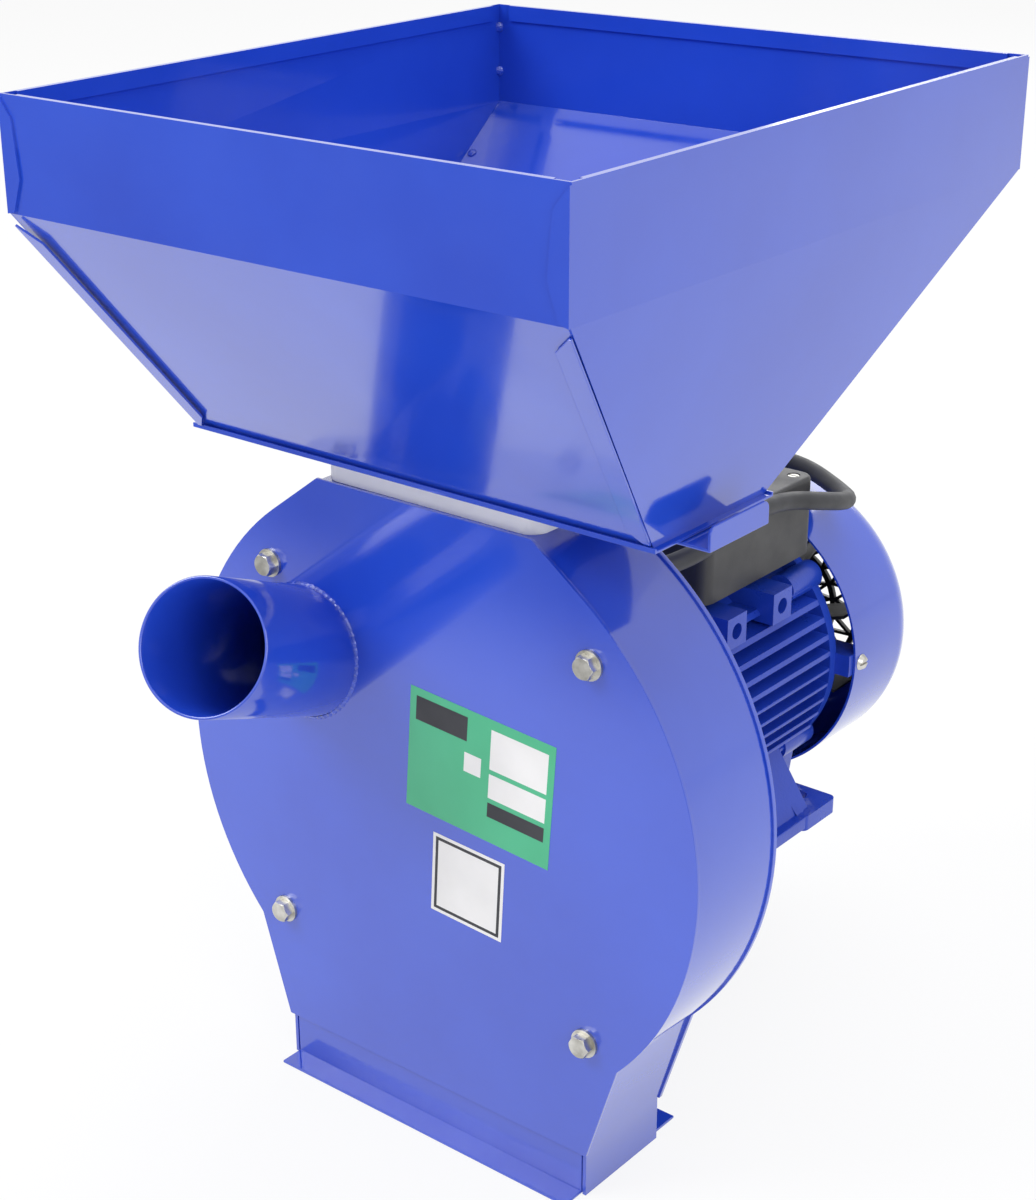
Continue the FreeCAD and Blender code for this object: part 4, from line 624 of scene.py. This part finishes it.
def makeFunnelTrim(trim):
    creaseX, creaseY, creaseZ = trim["crease"]
    footX, footY, footZ = trim["foot"]
    down = Vector((0, footY - creaseY, footZ - creaseZ))
    out = Vector((0, down.z, -down.y)).normalized()
    for name, (side, gap, edgeInset) in trim["flaps"].items():
        outline = [(share, inset * trim["width"]) for share, inset in trim["outline"]]
        outline += [(share, edgeInset) for share, inset in reversed(outline)]
        rings = []
        for lift in (gap, gap + trim["sheet"]):
            ring = []
            for share, inset in outline:
                x = (creaseX + (footX - creaseX) * share - inset) * side
                ring.append(Vector((x, creaseY, creaseZ)) + down * share + out * lift)
            rings.append(ring)
        bm = bmesh.new()
        solidFromRings(bm, rings)
        edgeRound(addPiece(name, bm, "blueEnamel"), trim["edge"])


makeSpotWelds(spotWelds)
makeFunnelTrim(funnelTrim)
print("hopper trimmed")

# Motor frame: the fins at and below the shaft, and the rails that join the feet of each side.
# Rail and web are sections (x, z) of the right side
motorCast = {
    "core": 0.060, "tip": 0.073, "pitch": 0.009, "root": 0.0032, "edge": 0.0020,
    "sideFins": 6, "lowFins": 4, "front": -0.0735, "back": 0.0635,
    "railEnd": 0.031, "webEnd": 0.0415, "finEdge": 0.0005, "railEdge": 0.0008,
    "rail": [(0.052, 0.0012), (0.0826, 0.0012), (0.0826, 0.0084), (0.052, 0.0084)],
    "web": [(0.050, 0.0080), (0.0775, 0.0080), (0.0560, 0.0400)],
}


def bar(bm, profile, y0, y1, side=1):
    solidFromRings(bm, [[Vector((x * side, y, z)) for x, z in profile] for y in (y0, y1)])


def makeMotorCast(look):
    core, tip, root, edge = look["core"], look["tip"], look["root"] / 2, look["edge"] / 2
    bm = bmesh.new()
    for step in range(look["sideFins"]):
        drop = step * look["pitch"]
        inner, outer = math.sqrt(core ** 2 - drop ** 2), math.sqrt(tip ** 2 - drop ** 2)
        z = axisHeight - drop
        for side in (-1, 1):
            bar(bm, [(inner, z - root), (outer, z - edge), (outer, z + edge), (inner, z + root)],
                look["front"], look["back"], side)
    for step in range(-look["lowFins"], look["lowFins"] + 1):
        x = step * look["pitch"]
        inner = axisHeight - math.sqrt(core ** 2 - x ** 2)
        outer = axisHeight - math.sqrt(tip ** 2 - x ** 2)
        bar(bm, [(x - root, inner), (x - edge, outer), (x + edge, outer), (x + root, inner)],
            look["front"], look["back"])
    fins = addPiece("motorLowerFins", bm, "castEnamel")
    edgeRound(fins, look["finEdge"])
    bm = bmesh.new()
    for side in (-1, 1):
        bar(bm, look["rail"], -look["railEnd"], look["railEnd"], side)
        bar(bm, look["web"], -look["webEnd"], look["webEnd"], side)
    rails = addPiece("motorFootRails", bm, "castEnamel")
    edgeRound(rails, look["railEdge"])


makeMotorCast(motorCast)
print("motor frame finned")

# Fan and the lattice behind it, seen through the gap in front of the cowl.
# The lattice's rings are (radius, half width), and its bars cross between them
fanLook = {"hub": 0.016, "bore": 0.0086, "hubShort": 0.004, "disc": 0.040, "sheet": 0.0025,
           "overlap": 0.001, "blades": 9, "bladeTurn": 10, "bladeRoot": 0.0015,
           "bladeTip": 0.0009, "bladeStart": 0.002, "tipGap": 0.002, "lean": 0.10,
           "edge": 0.0004}
grilleLook = {"rings": [(0.0135, 0.006), (0.030, 0.0016), (0.0455, 0.0016)], "rimHalf": 0.0023,
              "bore": 0.0075, "bars": 20, "barHalf": 0.0009, "bite": 0.8, "edge": 0.0002}


def hoop(bm, inner, outer, y0, y1):
    centre = (0, 0, axisHeight)
    ringsToMesh(bm, [circle(centre, inner, y0), circle(centre, outer, y0),
                     circle(centre, outer, y1), circle(centre, inner, y1)], closeEnds=True)


def strut(bm, start, end, y0, y1, half, halfEnd):
    # straight bar between two points given as (radius, angle) round the shaft
    ends = [Vector((r * math.cos(a), 0, axisHeight + r * math.sin(a))) for r, a in (start, end)]
    across = (ends[1] - ends[0]).normalized().cross(Vector((0, 1, 0)))
    rings = []
    for at, reach in zip(ends, (half, halfEnd)):
        rings.append([at + across * (reach * side) + Vector((0, y, 0))
                      for side, y in ((1, y0), (-1, y0), (-1, y1), (1, y1))])
    solidFromRings(bm, rings)


def makeFan(look):
    low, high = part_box("cooling_fan")
    y0, y1 = low.y, high.y
    reach = (high.x - low.x) / 2 - look["tipGap"]
    start = look["hub"] - look["overlap"]
    bm = bmesh.new()
    hoop(bm, look["bore"], look["hub"], y0, y1 - look["hubShort"])
    hoop(bm, start, look["disc"], y0, y0 + look["sheet"])
    for k in range(look["blades"]):
        a = math.radians(look["bladeTurn"]) + 2 * math.pi * k / look["blades"]
        strut(bm, (start, a), (reach, a + look["lean"]), y0 + look["bladeStart"], y1,
              look["bladeRoot"], look["bladeTip"])
    fan = addPiece("coolingFan", bm, "blackPlastic", "rotor", ("cooling_fan",))
    edgeRound(fan, look["edge"])


def makeGrille(look):
    low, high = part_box("fan_grille")
    y0, y1 = low.y, high.y
    rings = look["rings"] + [((high.x - low.x) / 2 - look["rimHalf"], look["rimHalf"])]
    bm = bmesh.new()
    for radius, half in rings:
        hoop(bm, max(radius - half, look["bore"]), radius + half, y0, y1)
    step = 2 * math.pi / look["bars"]
    bite, half = look["bite"], look["barHalf"]
    for row, ((r1, h1), (r2, h2)) in enumerate(zip(rings, rings[1:])):
        for k in range(look["bars"]):
            a = step * (k + 0.5 * (row % 2))
            for lean in (-0.5, 0.5):
                strut(bm, (r1 + h1 * bite, a), (r2 - h2 * bite, a + lean * step), y0, y1,
                      half, half)
    grille = addPiece("fanGrille", bm, "blackPlastic", stands=("fan_grille",))
    edgeRound(grille, look["edge"])


makeFan(fanLook)
makeGrille(grilleLook)
print("fan and lattice made")

# Mains plug: ribbed relief, waisted grip and a flat face that the pins stand in
plug = {
    "cord": 0.00475, "bore": 0.0002, "neckWall": 0.0009,
    "relief": 0.024, "reliefEnd": 0.0088, "ribs": 5, "ribDepth": 0.0012,
    # one rib: share of its step, and whether it is down in the groove
    "rib": [(0.15, 0), (0.60, 0), (0.68, 1), (0.96, 1)],
    "radius": 0.019, "grip": 0.046, "flat": 0.0026,
    # grip: radius, share of its length, distance past that
    "gripShape": [(0.0105, 0, 0), (0.0122, 0, 0.0012), (0.0150, 0.30, 0), (0.01843, 0.42, 0),
                  (0.019, 0.50, 0), (0.019, 0.94, 0), (0.0181, 1, -0.0004), (0.0174, 1, 0)],
}


def makePlug(look):
    low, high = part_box("plug_body")
    centre = ((low.x + high.x) / 2, low.y, (low.z + high.z) / 2)
    neck = look["cord"] + look["neckWall"]
    profile = [(look["cord"] - look["bore"], 0.0), (neck, look["bore"])]
    step = look["relief"] / look["ribs"]
    for k in range(look["ribs"]):
        fat = neck + (look["reliefEnd"] - neck) * (k + 0.5) / look["ribs"]
        profile += [(fat - look["ribDepth"] * down, k * step + share * step)
                    for share, down in look["rib"]]
    profile += [(radius, look["relief"] + share * look["grip"] + past)
                for radius, share, past in look["gripShape"]]
    bm = bmesh.new()
    solidFromRings(bm, [circle(centre, radius, along) for radius, along in profile])
    for side in (-1, 1):
        edge = centre[0] + side * (look["radius"] - look["flat"])
        cut = bmesh.ops.bisect_plane(bm, geom=allOf(bm), plane_co=(edge, 0, 0),
                                     plane_no=(side, 0, 0), clear_outer=True)
        bmesh.ops.edgeloop_fill(bm, edges=cutEdges(cut))
    return addPiece("plugBody", bm, "cordRubber", stands=("plug_body",),
                    sharpOver=40)


plugBody = makePlug(plug)

settleEdges()
print("edges settled:", len(rounded))

# Floor, world and lamps. Painted reflection: only in reflections, the floor turns dark in front of
# a given y, like the edge of a table that is not there
studio = {
    "floorHeight": -0.1042,
    "floorSize": 12,
    "floorColour": (0.86, 0.86, 0.86, 1),
    "floorGlow": 0.86,                       # share of white that the camera sees
    "paintedReflectionEdge": (-0.80, -0.58, 0.12, 1.0),  # painted reflection: y from, y to, brightness from, brightness to
    "white": (1, 1, 1, 1),
    "world": 0.62,
    "aim": (0, -0.10, 0.15),
    "lamps": [
        {"name": "keyLamp", "place": (-1.6, -2.2, 2.6), "size": 1.8, "power": 62},
        {"name": "fillLamp", "place": (2.6, -1.4, 1.6), "size": 1.6, "power": 26},
        {"name": "topLamp", "place": (0.2, 0.6, 3.2), "size": 2.4, "power": 40},
        {"name": "backLamp", "place": (-0.8, 2.8, 1.8), "size": 1.8, "power": 22}],
}


def mathNode(tree, operation, one, two):
    node = tree.nodes.new("ShaderNodeMath")
    node.operation = operation
    for socket, value in zip(node.inputs, (one, two)):
        if isinstance(value, float):
            socket.default_value = value
        else:
            tree.links.new(value, socket)
    return node.outputs[0]


def blendNode(tree, share, one, two):
    node = tree.nodes.new("ShaderNodeMixShader")
    for socket, value in zip(node.inputs, (share, one, two)):
        tree.links.new(value, socket)
    return node.outputs[0]


def seenRays(tree):
    # 1 for what the camera sees, straight or by way of metal and glass
    rays = tree.nodes.new("ShaderNodeLightPath")
    total = rays.outputs["Is Camera Ray"]
    for kind in ("Is Glossy Ray", "Is Transmission Ray"):
        total = mathNode(tree, "MAXIMUM", total, rays.outputs[kind])
    return total


def makeFloor(look):
    bm = bmesh.new()
    bmesh.ops.create_grid(bm, x_segments=8, y_segments=8, size=look["floorSize"])
    mesh = bpy.data.meshes.new("studioFloor")
    bm.to_mesh(mesh)
    bm.free()
    floor = bpy.data.objects.new("studioFloor", mesh)
    floor.location.z = look["floorHeight"]
    scene.collection.objects.link(floor)
    paper = bpy.data.materials.new("floorPaper")
    paper.use_nodes = True
    tree = paper.node_tree
    shader = tree.nodes["Principled BSDF"]
    shader.inputs["Base Color"].default_value = look["floorColour"]
    shader.inputs["Roughness"].default_value = 0.9
    shader.inputs["Specular IOR Level"].default_value = 0.1
    place = tree.nodes.new("ShaderNodeTexCoord")
    parts = tree.nodes.new("ShaderNodeSeparateXYZ")
    tree.links.new(place.outputs["Object"], parts.inputs[0])
    # painted reflection: in reflections the floor's glow fades to dark towards the front
    edge = tree.nodes.new("ShaderNodeMapRange")
    edge.interpolation_type = "SMOOTHSTEP"
    for socket, value in zip(("From Min", "From Max", "To Min", "To Max"), look["paintedReflectionEdge"]):
        edge.inputs[socket].default_value = value
    tree.links.new(parts.outputs["Y"], edge.inputs["Value"])
    rays = tree.nodes.new("ShaderNodeLightPath")
    bright = mathNode(tree, "MAXIMUM", rays.outputs["Is Camera Ray"], edge.outputs["Result"])
    glow = tree.nodes.new("ShaderNodeEmission")
    glow.inputs["Color"].default_value = look["white"]
    tree.links.new(bright, glow.inputs["Strength"])
    share = mathNode(tree, "MULTIPLY", seenRays(tree), look["floorGlow"])
    blend = blendNode(tree, share, shader.outputs[0], glow.outputs[0])
    tree.links.new(blend, tree.nodes["Material Output"].inputs["Surface"])
    mesh.materials.append(paper)


def makeWorld(look):
    world = scene.world or bpy.data.worlds.new("studioWorld")
    scene.world = world
    world.use_nodes = True
    tree = world.node_tree
    tree.nodes.clear()
    skies = []
    for strength in (look["world"], 1.0):
        sky = tree.nodes.new("ShaderNodeBackground")
        sky.inputs["Color"].default_value = look["white"]
        sky.inputs["Strength"].default_value = strength
        skies.append(sky.outputs[0])
    out = tree.nodes.new("ShaderNodeOutputWorld")
    tree.links.new(blendNode(tree, seenRays(tree), *skies), out.inputs["Surface"])


def hangLamps(look):
    aim = Vector(look["aim"])
    for lamp in look["lamps"]:
        data = bpy.data.lights.new(lamp["name"], "AREA")
        data.shape = "SQUARE"
        data.size = lamp["size"]
        data.energy = lamp["power"]
        obj = bpy.data.objects.new(lamp["name"], data)
        obj.location = lamp["place"]
        toward = aim - Vector(lamp["place"])
        obj.rotation_euler = toward.to_track_quat("-Z", "Y").to_euler()
        scene.collection.objects.link(obj)


makeFloor(studio)
makeWorld(studio)
hangLamps(studio)
scene.view_settings.view_transform = "Standard"
print("studio lit")

bpy.context.view_layer.update()
